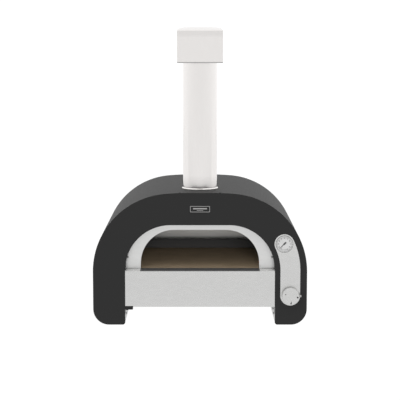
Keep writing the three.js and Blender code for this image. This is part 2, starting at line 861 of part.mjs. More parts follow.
function makeValve() {
  const floor = valveFront + plugLength + 2 * gap;
  const bore = turned(rodProfile(plugRadius + 2 * gap, valveFront - overrun, floor), smallSides);
  const geometry = cut(block(-valveWidth / 2, valveWidth / 2, valveFront, valveBack, -valveHeight / 2,
    valveHeight / 2), bore);
  return piece('gas_valve', geometry, 'brass');
}

// Thermometer, around its own axis
function makeGaugeCase() {
  const inner = gaugeCaseRadius - gaugeWall;
  const geometry = turned([
    [0, gaugeCaseDepth - gaugeWall],
    [inner, gaugeCaseDepth - gaugeWall],
    [inner, -sheet],
    [gaugeCaseRadius, -sheet],
    [gaugeCaseRadius, gaugeCaseDepth],
    [0, gaugeCaseDepth],
  ], tubeSides);
  return piece('gauge_case', geometry, 'darkSteel');
}

function makeGaugeBezel() {
  const back = -sheet - gap;
  const geometry = turned([
    [bezelRadius - bezelLip, back - bezelThickness],
    [bezelRadius - bezelThickness / 2, back - bezelThickness],
    [bezelRadius, back - bezelThickness / 2],
    [bezelRadius, back],
    [bezelRadius - bezelLip, back],
    [bezelRadius - bezelLip, back - bezelThickness],
  ], tubeSides);
  return piece('gauge_bezel', geometry, 'satinSteel');
}

function makeGaugeGlass() {
  const radius = gaugeCaseRadius - gaugeWall - gap;
  const profile = rodProfile(radius, -sheet, -sheet + glassThickness);
  return piece('gauge_glass', turned(profile, tubeSides), 'glass');
}

function makeGaugeDial() {
  const radius = gaugeCaseRadius - gaugeWall - gap;
  const profile = ringProfile(needlePinRadius + gap, radius, dialDrop, dialDrop + dialThickness);
  return piece('gauge_dial', turned(profile, tubeSides), 'dial');
}

function makeGaugeNeedle() {
  const back = dialDrop - gap;
  const front = back - needleThickness;
  const tip = needleWidth / 4;
  const outline = corners([needleLength, -tip], [needleLength, tip], [0, needleWidth / 2],
    [-needleTail, needleWidth / 2], [-needleTail, -needleWidth / 2], [0, -needleWidth / 2]);
  const hub = turned(rodProfile(needleHubRadius, front, back), smallSides);
  const pin = turned(rodProfile(needlePinRadius, front, front + needlePinLength), screwSides);
  const mesh = piece('gauge_needle', joined(plate(outline, front, back), hub, pin), 'needle');
  mesh.rotation.y = -THREE.MathUtils.degToRad(needleRestDeg);
  return mesh;
}

// Burner and its probes
function makeBurnerGuard() {
  const z0 = hearthHeight + gap;
  const top = hearthHeight + guardHeight;
  const half = archHalfAt(chamberHalf, chamberTop, chamberRadius, top) - 2 * gap;
  const face = block(-half, half, guardSetback, guardSetback + sheet, z0, top);
  const foot = block(-half, half, guardSetback, guardSetback + guardFoot, z0, z0 + sheet);
  return piece('burner_guard', joined(face, foot), 'darkSteel');
}

function makeBurnerTube() {
  const from = -chamberHalf + burnerInset;
  const to = chamberHalf + burnerOutReach;
  const inner = burnerRadius - burnerWall;
  const tube = turnedAlongX([
    [0, from],
    [burnerRadius, from],
    [burnerRadius, to],
    [inner, to],
    [inner, from + burnerWall],
    [0, from + burnerWall],
  ], smallSides, burnerSetback, burnerZ);
  const span = 2 * (chamberHalf - burnerBracketInset - overrun);
  const ports = [];
  for (let index = 0; index < portCount; index += 1) {
    const x = span * ((index + 1 / 2) / portCount - 1 / 2);
    ports.push(block(x - portWidth / 2, x + portWidth / 2, burnerSetback - portLength / 2,
      burnerSetback + portLength / 2, burnerZ, burnerZ + burnerRadius + overrun));
  }
  return piece('burner_tube', cut(tube, ...ports), 'domeSteel');
}

function makeBurnerBracket(name, side) {
  const z0 = hearthHeight + gap;
  const x = (chamberHalf - burnerBracketInset) * side;
  const rise = burnerZ + probeRise + electrodeRadius + 2 * sheet;
  const y0 = burnerSetback - probeSpread - 2 * sheet;
  const y1 = burnerSetback + probeSpread + 2 * sheet;
  const wall = block(x - sheet / 2, x + sheet / 2, y0, y1, z0, rise);
  const toe = [x, x + burnerBracketFoot * side].sort((a, b) => a - b);
  const foot = block(toe[0], toe[1], y0, y1, z0, z0 + sheet);
  const drill = (radius) => rodProfile(radius + gap, x - overrun, x + overrun);
  const hole = (radius, y, z) => turnedAlongX(drill(radius), smallSides, y, z);
  const geometry = cut(joined(wall, foot), hole(burnerRadius, burnerSetback, burnerZ),
    hole(electrodeRadius, burnerSetback - probeSpread, burnerZ + probeRise),
    hole(thermocoupleRadius, burnerSetback + probeSpread, burnerZ + probeRise));
  return piece(name, geometry, 'domeSteel');
}

function makeInjector() {
  const from = chamberHalf + burnerOutReach + gap;
  const geometry = turnedAlongX([
    [0, from - injectorRadius],
    [burnerRadius / 3, from - injectorRadius],
    [burnerRadius / 3, from],
    [injectorRadius, from],
    [injectorRadius, from + injectorLength],
    [0, from + injectorLength],
  ], screwSides, burnerSetback, burnerZ);
  return piece('gas_injector', geometry, 'brass');
}

function makeElectrode() {
  const to = chamberHalf + burnerOutReach;
  const from = to - probeLength;
  const geometry = turnedAlongX([
    [0, from - electrodeTipLength],
    [electrodeTipRadius, from - electrodeTipLength],
    [electrodeTipRadius, from],
    [electrodeRadius, from],
    [electrodeRadius, to],
    [0, to],
  ], screwSides, burnerSetback - probeSpread, burnerZ + probeRise);
  return piece('igniter_electrode', geometry, 'ceramic');
}

function makeThermocouple() {
  const to = chamberHalf + burnerOutReach;
  const geometry = turnedAlongX(rodProfile(thermocoupleRadius, to - probeLength - electrodeTipLength, to),
    screwSides, burnerSetback + probeSpread, burnerZ + probeRise);
  return piece('flame_thermocouple', geometry, 'copper');
}

function makeSensorBulb() {
  const to = chamberHalf + burnerOutReach;
  const profile = rodProfile(bulbRadius, to - bulbLength, to);
  const geometry = turnedAlongX(profile, screwSides, bulbSetback, bulbHeight);
  return piece('sensor_bulb', geometry, 'copper');
}

// Pipes and leads: straight runs through the given points, with a bend of one radius at each corner.
// The rings lie at the ends of the straight runs and at even steps round the bends.
class RunsAndBends extends THREE.Curve {
  constructor(points, bend) {
    super();
    this.stations = [];
    let from = points[0];
    for (let index = 1; index < points.length - 1; index += 1) {
      const corner = points[index];
      const into = new THREE.Vector3().subVectors(corner, points[index - 1]).normalize();
      const away = new THREE.Vector3().subVectors(points[index + 1], corner).normalize();
      const start = corner.clone().addScaledVector(into, -bend);
      const end = corner.clone().addScaledVector(away, bend);
      this.addRun(new THREE.LineCurve3(from, start), 1, index === 1);
      this.addRun(new THREE.QuadraticBezierCurve3(start, corner, end), bendSteps, false);
      from = end;
    }
    this.addRun(new THREE.LineCurve3(from, points[points.length - 1]), 1, false);
  }

  addRun(curve, steps, withStart) {
    for (let step = withStart ? 0 : 1; step <= steps; step += 1) {
      this.stations.push({ place: curve.getPoint(step / steps), heading: curve.getTangent(step / steps) });
    }
  }

  station(share) {
    return this.stations[Math.round(share * (this.stations.length - 1))];
  }

  getPoint(share) {
    return this.station(share).place.clone();
  }

  getPointAt(share) {
    return this.getPoint(share);
  }

  getTangent(share) {
    return this.station(share).heading.clone();
  }

  getTangentAt(share) {
    return this.getTangent(share);
  }
}

function pipeAlong(name, places, bend, radius, sides, finish) {
  const path = new RunsAndBends(places.map(([x, y, z]) => new THREE.Vector3(x, y, z)), bend);
  const round = new THREE.Shape(arc(0, 0, radius, 0, 360, sides).slice(0, -1));
  const steps = path.stations.length - 1;
  const geometry = new THREE.ExtrudeGeometry(round, { steps, extrudePath: path, bevelEnabled: false });
  return piece(name, geometry, finish);
}

function makeInletPipe() {
  const x = knobX + portSpreadX;
  const z = knobZ - portSpreadZ;
  const geometry = turned(ringProfile(pipeRadius - pipeWall, pipeRadius, valveBack + gap,
    backFace - gap - inletInnerLength - gap), pipeSides * 2);
  geometry.translate(x, 0, z);
  return piece('inlet_pipe', geometry, 'copper');
}

function makeFeedPipe() {
  const x = knobX - portSpreadX;
  const z = knobZ + portSpreadZ;
  const end = chamberHalf + burnerOutReach + gap + injectorLength + gap;
  return pipeAlong('feed_pipe', [
    [x, valveBack + gap, z],
    [x, burnerSetback, z],
    [x, burnerSetback, burnerZ],
    [end, burnerSetback, burnerZ],
  ], pipeBend, pipeRadius, pipeSides, 'copper');
}

function makeIgniterLead() {
  const x = knobX - igniterLeadInset;
  const z = knobZ - portSpreadZ;
  const y = burnerSetback - probeSpread;
  return pipeAlong('igniter_lead', [
    [chamberHalf + burnerOutReach + gap, y, burnerZ + probeRise],
    [x, y, burnerZ + probeRise],
    [x, y, z],
    [x, valveBack + leadTurnBack, z],
    [knobX - portSpreadX, valveBack + leadTurnBack, z],
    [knobX - portSpreadX, valveBack + gap, z],
  ], leadBend, leadRadius, leadSides, 'fibre');
}

function makeThermocoupleLead() {
  const x = knobX + thermocoupleLeadOutset;
  const z = knobZ + portSpreadZ;
  const y = burnerSetback + probeSpread;
  return pipeAlong('thermocouple_lead', [
    [chamberHalf + burnerOutReach + gap, y, burnerZ + probeRise],
    [x, y, burnerZ + probeRise],
    [x, y, z],
    [x, valveBack + leadTurnBack, z],
    [knobX + portSpreadX, valveBack + leadTurnBack, z],
    [knobX + portSpreadX, valveBack + gap, z],
  ], leadBend, leadRadius, leadSides, 'copper');
}

function makeCapillary() {
  return pipeAlong('capillary_tube', [
    [gaugeX, gaugeCaseDepth + gap, gaugeZ],
    [gaugeX, bulbSetback, gaugeZ],
    [gaugeX, bulbSetback, bulbHeight],
    [chamberHalf + burnerOutReach + gap, bulbSetback, bulbHeight],
  ], leadBend, leadRadius, leadSides, 'copper');
}

// Inlet fitting through the rear panel, with a barbed tail for the hose
function makeGasInlet() {
  const inside = backFace - gap;
  const outside = bodyDepth + gap;
  const hexEnd = outside + inletHexLength;
  const tail = bodyDepth + inletReach;
  const barbs = [];
  const pitch = (tail - hexEnd) / barbCount;
  for (let index = 0; index < barbCount; index += 1) {
    const start = hexEnd + pitch * index;
    barbs.push([tailRadius, start], [tailRadius + tailBarb, start + pitch / 4], [tailRadius, start + pitch]);
  }
  const bore = pipeRadius - pipeWall;
  const geometry = turned([
    [bore, inside - inletInnerLength],
    [inletRadius + inletShoulder, inside - inletInnerLength],
    [inletRadius + inletShoulder, inside],
    [inletRadius, inside],
    [inletRadius, outside],
    [inletHexRadius, outside],
    [inletHexRadius, hexEnd],
    ...barbs,
    [bore, tail],
    [bore, inside - inletInnerLength],
  ], screwSides);
  geometry.translate(knobX + portSpreadX, 0, knobZ - portSpreadZ);
  return piece('gas_inlet', geometry, 'brass');
}

// Fasteners
function screwProfile(head) {
  const face = head + gap;
  const shank = head - screwShankLength;
  return [
    [0, shank],
    [screwShankRadius, shank],
    [screwShankRadius, face],
    [screwHeadRadius, face],
    [screwHeadRadius, face + screwHeadHeight / 2],
    [screwHeadRadius - screwHeadHeight / 2, face + screwHeadHeight],
    [0, face + screwHeadHeight],
  ];
}

function screwHole(x, y, z) {
  const radius = screwShankRadius + gap;
  const geometry = turned(rodProfile(radius, y - screwShankLength, y + screwShankLength), screwSides);
  geometry.translate(x, 0, z);
  return geometry;
}

// Places on the rear panel, along its arched edge and low on its legs
function rearScrewPlaces() {
  const places = [];
  const reach = shoulderRadius - rearScrewInset;
  for (const side of [-1, 1]) {
    for (const degrees of rearScrewAnglesDeg) {
      const angle = THREE.MathUtils.degToRad(degrees);
      places.push([side * (shoulderInset + reach * Math.cos(angle)), shoulderZ + reach * Math.sin(angle)]);
    }
    places.push([side * (bodyHalf - rearScrewInset), rearScrewLowZ]);
  }
  return places;
}

function makeRearScrews() {
  return rearScrewPlaces().map(([x, z], index) => {
    const mesh = piece(`rear_screw_${index + 1}`, turned(screwProfile(bodyDepth), screwSides), 'darkSteel');
    mesh.position.set(x, 0, z);
    return mesh;
  });
}

function makeMouthScrew(name, side) {
  const geometry = turned(screwProfile(0), screwSides);
  geometry.rotateX(Math.PI);
  const mesh = piece(name, geometry, 'darkSteel');
  mesh.position.set(mouthScrewX * side, revealDepth, mouthScrewZ);
  return mesh;
}

// Brackets that tie the base plate to the leg walls at the front
function sideScrewHole(side) {
  const ends = [side * (wallInner - overrun), side * (wallOuter + overrun)].sort((a, b) => a - b);
  const y = cornerSetback + cornerScrewSetback;
  return turnedAlongX(rodProfile(screwShankRadius + gap, ends[0], ends[1]), screwSides, y, legScrewZ);
}

function makeCornerBracket(name, side) {
  const start = cornerSetback;
  const top = underClearance + sheet;
  const strip = (inner, y0, y1, z0, z1) => block(Math.min(inner * side, fitHalf * side),
    Math.max(inner * side, fitHalf * side), y0, y1, z0, z1);
  const parts = [
    strip(fitHalf - sheet, start, start + cornerLength, top - cornerDrop, top),
    strip(fitHalf - cornerTab, start, start + cornerLength, top - sheet, top),
  ];
  if (side < 0) {
    parts.push(strip(fitHalf - gussetWidth, start, start + sheet, top - gussetHeight, top));
  }
  return piece(name, cut(joined(...parts), sideScrewHole(side)), 'darkSteel');
}

function makeCornerScrew(name, side) {
  const geometry = turned(screwProfile(0), screwSides);
  geometry.rotateZ(Math.PI / 2 * side);
  const mesh = piece(name, geometry, 'darkSteel');
  mesh.position.set((fitHalf - sheet) * side, cornerSetback + cornerScrewSetback, legScrewZ);
  return mesh;
}

// Blank badge with a raised rim
function makeBadge() {
  const half = badgeWidth / 2;
  const y0 = -gap - badgeThickness;
  const back = block(-half, half, y0, -gap, badgeZ - badgeHeight / 2, badgeZ + badgeHeight / 2);
  const rise = badgeHeight / 2;
  const rim = cut(
    block(-half, half, y0 - badgeRimHeight, y0 + badgeThickness / 2, badgeZ - rise, badgeZ + rise),
    block(-half + badgeRim, half - badgeRim, y0 - overrun, y0 + badgeThickness, badgeZ - rise + badgeRim,
      badgeZ + rise - badgeRim),
  );
  return piece('badge_plate', joined(back, rim), 'anthracite');
}

// Groups: the oven is measured from its front face, the flue, knob and thermometer from their axes
const flue = new THREE.Group();
flue.position.set(0, flueSetback, 0);
flue.add(makeFlueCollar(), makeFlueRing(), makeFluePipe(), makeFlueCap(), makeCapBracket());

const gasControl = new THREE.Group();
gasControl.position.set(knobX, 0, knobZ);
gasControl.add(makeKnob(), makeSpindle(), makeValveNeck(), makeValvePlug(), makeValve());

const thermometer = new THREE.Group();
thermometer.position.set(gaugeX, 0, gaugeZ);
thermometer.add(makeGaugeCase(), makeGaugeBezel(), makeGaugeGlass(), makeGaugeDial(), makeGaugeNeedle());

const burner = new THREE.Group();
burner.add(makeBurnerGuard(), makeBurnerTube(), makeInjector(), makeElectrode(), makeThermocouple());
burner.add(makeBurnerBracket('burner_bracket_left', -1), makeBurnerBracket('burner_bracket_right', 1));

const piping = new THREE.Group();
piping.add(makeInletPipe(), makeFeedPipe(), makeIgniterLead(), makeThermocoupleLead(), makeCapillary());
piping.add(makeSensorBulb(), makeGasInlet());

const hearth = new THREE.Group();
hearth.add(makeLowerFrontPanel(), makeHearthStrip(), makeMouthPlate(), makeFloorTray(), makeFloorBoard());
hearth.add(makeStone(), makeDome(), makeDomeBack(), makeDomeBlanket(), makeRearBlanket());

const body = new THREE.Group();
body.add(makeOuterShell(), makeFrontFrame(), makeRearPanel(), makeBasePlate());
body.add(makeControlPlate(), makeBadge());
body.add(makeLegWall('left_leg_wall', -1), makeLegWall('right_leg_wall', 1));

const fasteners = new THREE.Group();
fasteners.add(...makeRearScrews());
for (const [sideName, side] of [['left', -1], ['right', 1]]) {
  fasteners.add(makeMouthScrew(`mouth_screw_${sideName}`, side));
  fasteners.add(makeCornerBracket(`corner_bracket_${sideName}`, side));
  fasteners.add(makeCornerScrew(`corner_screw_${sideName}`, side));
}

const oven = new THREE.Group();
oven.position.set(0, frontFaceY, 0);
oven.add(body, hearth, burner, piping, flue, gasControl, thermometer, fasteners);

const pizzaOven = new THREE.Group();
pizzaOven.add(oven);

export default pizzaOven;
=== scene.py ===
import math

import bmesh
import bpy
import numpy as np
from bpy.props import FloatProperty, FloatVectorProperty, IntProperty, PointerProperty
from bpy.types import Operator, Panel, PropertyGroup
from mathutils.geometry import tessellate_polygon
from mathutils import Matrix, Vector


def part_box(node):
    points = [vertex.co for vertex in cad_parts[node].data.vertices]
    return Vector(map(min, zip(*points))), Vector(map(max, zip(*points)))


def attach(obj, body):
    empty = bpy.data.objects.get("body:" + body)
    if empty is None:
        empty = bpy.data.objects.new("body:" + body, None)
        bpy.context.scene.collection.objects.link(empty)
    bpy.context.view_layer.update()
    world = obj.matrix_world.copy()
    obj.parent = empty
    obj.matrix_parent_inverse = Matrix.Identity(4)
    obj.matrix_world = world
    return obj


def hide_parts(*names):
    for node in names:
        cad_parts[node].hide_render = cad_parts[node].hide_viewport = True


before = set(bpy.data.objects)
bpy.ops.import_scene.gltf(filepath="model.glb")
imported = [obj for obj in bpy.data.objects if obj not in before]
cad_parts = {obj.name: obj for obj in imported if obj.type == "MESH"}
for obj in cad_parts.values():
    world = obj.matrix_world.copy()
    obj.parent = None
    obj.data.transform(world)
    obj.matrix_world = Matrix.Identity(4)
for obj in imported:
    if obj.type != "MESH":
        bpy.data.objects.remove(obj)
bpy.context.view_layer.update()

bl_info = {
    "name": "Portable Pizza Oven",
    "version": (1, 0, 0),
    "blender": (4, 5, 0),
    "location": "3D View > Sidebar > Oven",
    "description": "Builds the sheet metal, stone, flue and controls of a portable pizza oven",
    "category": "Add Mesh",
}

MM = 0.001
ROOT = "oven_body"


def corners(node):
    """Lowest and highest corner of a construction node, as arrays in metres."""
    low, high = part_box(node)
    return np.array(low), np.array(high)


# Places read from the construction model
SKIN_LOW, SKIN_HIGH = corners("outer_shell")
FRONT, COLLAR_END = (corner[1] for corner in corners("front_frame"))
BACK = corners("rear_panel")[1][1]
BODY_HALF, BODY_TOP = SKIN_HIGH[0], SKIN_HIGH[2]
FIT_HALF = corners("base_plate")[1][0]
MOUTH_LOW, MOUTH_HIGH = corners("mouth_plate")
STRIP_LOW, STRIP_HIGH = corners("hearth_strip")
PANEL_LOW, PANEL_HIGH = corners("lower_front_panel")
HEARTH = PANEL_HIGH[2]
VAULT_LOW, VAULT_HIGH = corners("inner_dome")
STONE_LOW, STONE_HIGH = corners("refractory_stone")
GUARD_LOW, GUARD_HIGH = corners("burner_guard")
PIPE_LOW, PIPE_HIGH = corners("flue_pipe")
COLLAR_LOW, COLLAR_HIGH = corners("flue_collar")
RING_LOW, RING_HIGH = corners("flue_ring")
CAP_LOW, CAP_HIGH = corners("flue_cap")
STRAP_LOW, STRAP_HIGH = corners("cap_bracket")
FLUE = (PIPE_LOW + PIPE_HIGH) / 2
KNOB_LOW, KNOB_HIGH = corners("gas_knob")
NECK = sum(corners("valve_neck")) / 2
BEZEL_LOW, BEZEL_HIGH = corners("gauge_bezel")
GAUGE = (BEZEL_LOW + BEZEL_HIGH) / 2
DIAL_LOW, DIAL_HIGH = corners("gauge_dial")
GLASS_LOW, GLASS_HIGH = corners("gauge_glass")
BADGE_LOW, BADGE_HIGH = corners("badge_plate")
INLET = sum(corners("gas_inlet")) / 2

SIDES = {-1: "left", 1: "right"}
# Half the side of the square grid round the flue, and its rows
PATCH = 78 * MM
FLUE_ROWS = np.linspace(FLUE[1] - PATCH, FLUE[1] + PATCH, 13)
# Share of an arch's height above which it counts as crown
CROWN = 0.9
# Points nearer than this are one
WELD = 2e-6
# Radii on the smallest edges
FAINT, FINE, SMALL = 0.1 * MM, 0.2 * MM, 0.3 * MM
# Place across, radius, lower and upper end of the left bracket's bolt and the right one's stud
BOLT, STUD = np.array([(-253.5, 3.6, 47, 58.5), (254, 1.5, 49, 62)]) * MM
# Half width, height over the middle and thickness of the badge's bars, in millimetres
BADGE_BARS = ((24, 1.6, 4.2), (11, -4.6, 1.4))
# Share of the knob's radius, angle in degrees and radius in millimetres of its dots
KNOB_DOTS = ((0.84, -8.6, 3.2), (0.635, 159.5, 1.9))
# Outline of the knob's flame round its centre, and half the needle's outline with its tip first
FLAME = 1.3 * np.array([(-1.6, -4.2), (1.0, -4.4), (2.0, -1.6), (0.9, 1.0), (2.6, 5.0), (-0.9, 1.6),
                        (-0.4, -0.6), (-2.2, -1.6)]) * MM
NEEDLE = np.array([(22.5, 0.8), (6, 1.2), (1, 2.6), (-5, 2.9), (-9, 1.6)]) * MM
# Radius and angle at which the flame sits on the knob
FLAME_PLACE = 22 * MM, math.radians(-86)
# Thickness of the needle, radius of its hub and radius of its pin
NEEDLE_SHEET, HUB, PIN = np.array([0.7, 2.4, 1.1]) * MM
# Degrees from the first to the last tick mark, and of the arc below them
TICK_ENDS, ARC_ENDS = (240, -60), (245, 295)
# Front and back of printed marks, from the face that carries them
KNOB_PRINT, DIAL_PRINT = np.array([(-0.1, 0.4), (-0.06, 0.1)]) * MM
# Radius and height of a button head with a hexagon socket, in millimetres, and which points are the socket's
HEAD = np.array([(0, 0.9), (1.25, 0.9), (1.25, 2.0), (1.5, 2.2), (2.2, 2.15), (3.0, 1.85), (3.6, 1.3),
                 (3.95, 0.6), (4, 0.3), (2, 0.3), (2, -9), (0, -9)])
SOCKET = [False, True, True] + [False] * 9
# Depth of a head in its constructed screw
HEAD_DEPTH = 2.5 * MM
# Finish and axis of each kind of screw, and its shift outwards, back and up in millimetres
SCREWS = {
    "rear": ("zinc", "Y", (0, 0, 0)),
    "mouth": ("hem", "Y", (2.5, 0, -3)),
    "corner": ("blacked", "X", (0.6, -6, -2.8)),
}
# The camera's place, its degrees below level, and its lens and sensor in millimetres
CAMERA_PLACE, CAMERA_TILT, LENS, SENSOR = (0, -4.74175, 0.97366), 6.93, 117, 36
# Name, place, diameter and watts of each lamp, what the lamps point at, and half the floor's side
LAMPS = (("key", (-1.2, -2.6, 2.4), 2.0, 10), ("front", (0.3, -4.2, 1.2), 1.2, 47))
LIT_POINT, FLOOR_HALF = (0, 0, 0.35), 9
# Pieces that stay as constructed, by their finish
CARRIED = {
    "blacked": ("gauge_case",),
    "satin": ("base_plate",),
    "liner": ("floor_tray", "burner_tube", "burner_bracket_left", "burner_bracket_right"),
    "fibre": ("floor_insulation_board", "dome_blanket", "rear_blanket", "igniter_lead"),
    "brass": ("gas_valve", "valve_neck", "valve_plug", "valve_spindle", "gas_injector", "gas_inlet"),
    "copper": ("feed_pipe", "inlet_pipe", "thermocouple_lead", "capillary_tube", "sensor_bulb",
               "flame_thermocouple"),
    "ceramic": ("igniter_electrode",),
}


# Colours and lengths
def linear(code):
    """sRGB hex to linear: c / 12.92 up to 0.04045, and ((c + 0.055) / 1.055) ** 2.4 above."""
    parts = [int(code[place:place + 2], 16) / 255 for place in (1, 3, 5)]
    return tuple(c / 12.92 if c <= 0.04045 else ((c + 0.055) / 1.055) ** 2.4 for c in parts)


def length(name, description, millimetres):
    return FloatProperty(name=name, description=description, default=millimetres * MM, unit="LENGTH",
                         min=0, precision=4)


def colour(name, description, code):
    return FloatVectorProperty(name=name, description=description, default=linear(code), subtype="COLOR",
                               size=3, min=0, max=1)


def angle(name, description, degrees):
    return FloatProperty(name=name, description=description, default=math.radians(degrees), unit="ROTATION")


class BodySizes(PropertyGroup):
    sheet: length("Sheet", "Thickness of the body's steel sheet", 2)
    gap: length("Joint", "Open joint between neighbouring sheets", 0.3)
    edge: length("Edge", "Radius on the edges of cut sheet", 0.6)
    trim: length("Trim", "Radius on the edges of skin, cap and strap", 0.4)
    bend: length("Bend", "Radius of folded edges, on the sheet's middle", 2)
    flange: length("Flange", "Depth of the flanges under the front and rear panels", 20)
    shoulder_inset: length("Shoulder inset", "Distance of the shoulder arcs' centres from the middle", 98)
    crown_radius: length("Crown radius", "Radius of the shallow crown", 998)
    crown_flat: length("Crown flat", "Half the flat stretch of the crown", 38)
    foot_radius: length("Foot radius", "Outer radius under each leg", 55)
    heel_radius: length("Heel radius", "Inner radius under each leg", 9)
    rear_lip: length("Rear lip", "Width of the skin's flange behind the rear panel", 26)
    relief_offset: length("Relief offset", "Distance of the skin's front notches from the middle", 69)
    relief_width: length("Relief width", "Width of a front notch", 6)
    relief_depth: length("Relief depth", "Depth of a front notch", 16)
    opening_half: length("Opening half width", "Half the width of the front opening", 259.2)
    opening_top: length("Opening top", "Height of the front opening's crown", 348.1)
    opening_radius: length("Opening radius", "Radius of the front opening's corners", 158)
    opening_bend: length("Opening bend", "Radius where the face turns into the collar", 2)
    inlet_hole: length("Inlet hole", "Radius of the rear panel's hole for the gas inlet", 7.3)
    badge_rim: length("Badge rim", "Width of the badge's raised rim", 1.6)
    badge_corner: length("Badge corner", "Radius of the badge's corners", 2)
    badge_depth: length("Badge depth", "Height of the badge's rim over its floor", 0.5)


class HearthSizes(PropertyGroup):
    mouth_radius: length("Mouth radius", "Radius of the mouth's corners", 115.5)
    panel_drop: length("Panel drop", "How far the lower panel's edges stand below those constructed", 1.9)
    mouth_head: length("Mouth head", "Height of the mouth plate over its opening", 36)
    mouth_flange: length("Mouth flange", "How far the mouth plate reaches behind the collar", 12)
    vault_half: length("Vault half width", "Half the width inside the vault", 226)
    vault_radius: length("Vault radius", "Radius of the vault's corners", 138)
    stone_edge: length("Stone edge", "Radius on the stone's edges", 1.5)
    guard_rise: length("Guard rise", "How far the guard's edge stands above the one constructed", 1.8)
    vent_half: length("Vent half width", "Half the width of a rear vent slot", 2.5)
    vent_length: length("Vent length", "Length of a rear vent slot", 60)
    vent_pitch: length("Vent pitch", "Distance between rear vent slots", 42)
    vent_bottom: length("Vent bottom", "Height of the vent slots' lower ends", 86)
    vents: IntProperty(name="Vents", description="Number of rear vent slots", default=7, min=1)


class BracketSizes(PropertyGroup):
    flange: length("Flange", "Width of a bracket's upper flange", 13)
    lip_bottom: length("Lip bottom", "Height of the gusset lip's lower edge", 53.3)
    lip_top: length("Lip top", "Height of the gusset lip's upper edge", 65.8)
    lip_reach: length("Lip reach", "How far the lip stands past the bracket", 2.1)
    lip_sheet: length("Lip sheet", "Thickness of the lip", 0.8)
    web_bottom: length("Web bottom", "Height of the gusset web's lower face", 58)
    web_top: length("Web top", "Height of the gusset web's upper face", 59.6)
    ahead: length("Ahead", "How far bolt and stud stand in front of the brackets", 1.3)


class FlueSizes(PropertyGroup):
    wall: length("Flue wall", "Wall of the flue pipe", 1.6)
    rim: length("Rim", "Radius on the pipe's ends", 0.5)
    seam_width: length("Seam width", "Width of the pipe's welded seam", 3)
    seam_height: length("Seam height", "Height of the pipe's welded seam", 0.3)
    ring_lip: length("Ring lip", "Thickness of the seat ring's outer lip", 1.2)
    spigot_wall: length("Spigot wall", "Wall of the spigot", 1.6)
    spigot_foot: length("Spigot foot", "Width of the flange at the spigot's foot", 12)
    clearance: length("Clearance", "Room between the spigot and what slips over it", 0.3)
    cap_crown: length("Cap crown", "Rise of the cap's crown over its creases", 12.6)
    cap_bend: length("Cap bend", "Radius of the cap's creases", 2.5)
    hem_height: length("Hem height", "Height of the cap's hems", 3.5)
    hem_proud: length("Hem", "How far the hems stand out", 1)
    strap_leg: length("Strap leg", "Distance of the strap's legs from the flue's axis", 56)
    strap_lip: length("Strap lip", "Height of the strap's folded lips", 14)
    strap_ear: length("Strap ear", "Reach of the ears that rest on the pipe", 9)


class ControlSizes(PropertyGroup):
    strip_half: length("Strip half width", "Half the width of the control strip", 34.3)
    foot_drop: length("Foot drop", "How far the strip's lower arc sits below the knob's axis", 2.3)
    bend_rise: length("Bend rise", "Height of the strip's bend up to the thermometer's axis", 93)
    neck_radius: length("Neck hole", "Radius of the hole behind the knob", 10)
    knob_radius: length("Knob radius", "Radius of the gas knob", 29)
    knob_edge: length("Knob edge", "Radius on the rim of the knob's face", 1.4)
    knob_back: length("Knob back", "Radius on the rim of the knob's back", 0.8)
    lug_trim: length("Lug trim", "How far the pointer ends short of the one constructed", 3.3)
    lug_root: length("Lug root", "How far the pointer reaches into the knob", 3)
    lug_depth: length("Lug depth", "Depth of the pointer", 8.6)
    lug_width: length("Lug width", "Width of the knob's pointer", 7.6)
    lug_angle: angle("Lug angle", "Angle of the knob's pointer above the horizontal", 1.4)
    case_radius: length("Case radius", "Radius of the hole for the thermometer's case", 28.7)
    ring_radius: length("Ring radius", "Radius of the strip's hole round the bezel", 29.7)
    bezel_radius: length("Bezel radius", "Outer radius of the bezel", 28.6)
    bezel_lip: length("Bezel lip", "Width of the bezel's lip over the glass", 2.2)
    bezel_set: length("Bezel set", "How far the bezel sits behind the one constructed", 1.5)
    tick_size: length("Tick size", "Radius of a tick mark", 1.5)
    tick_radius: length("Tick radius", "Radius of the ring of tick marks", 20.4)
    ticks: IntProperty(name="Ticks", description="Number of tick marks on the dial", default=11, min=2)
    rest_angle: angle("Rest angle", "Direction of the needle at its lowest reading", 225)


class Finishes(PropertyGroup):
    coat: colour("Powder coat", "Anthracite powder coat of the body", "#252525")
    satin: colour("Satin steel", "Front panel, control strip, knob, bezel and base plate", "#d8d8d7")
    # Lighter than the satin steel: painted light that keeps the recessed mouth plate light
    bright: colour("Bright satin steel", "Mouth plate", "#e2e2e1")
    flue: colour("Flue steel", "Flue pipe, ring and cap", "#f3f0ee")
    # Darker than the flue steel: painted shade on the cap's hems, and the own colour of badge rim, pointer
    # and mouth screws
    hem: colour("Hem steel", "Cap's hems, badge's rim, pointer and mouth screws", "#b2b1b0")
    liner: colour("Liner steel", "Vault, spigot, strap, tray and burner", "#84827d")
    mirror: colour("Polished liner steel", "Back wall of the chamber", "#ecebe9")
    mill: colour("Mill finish steel", "Leg walls and corner brackets", "#c4c4c3")
    blacked: colour("Blackened steel", "Gusset, stud, corner screws and gauge case", "#242424")
    oxide: colour("Oxidised steel", "Hearth strip and burner guard", "#545454")
    stone: colour("Fired stone", "Cordierite hearth", "#ac9980")
    fibre: colour("Ceramic fibre", "Blankets, board and sleeves", "#e9e6dc")
    brass: colour("Brass", "Valve and gas fittings", "#c7ab62")
    copper: colour("Copper", "Gas pipes and probes", "#c98a66")
    ceramic: colour("Alumina", "Electrode", "#ece8df")
    dial: colour("Dial enamel", "Face of the thermometer", "#cecece")
    ink: colour("Ink", "Printed marks and the needle", "#2b2b2b")
    zinc: colour("Black zinc", "Screws of the rear panel", "#3a3a3c")


# Lines
def arc(x, z, radius, start, end, steps):
    """Points (x + r cos a, z + r sin a), a running evenly between two angles in degrees."""
    turn = np.radians(np.linspace(start, end, steps + 1))
    return np.stack([x + radius * np.cos(turn), z + radius * np.sin(turn)], axis=1)


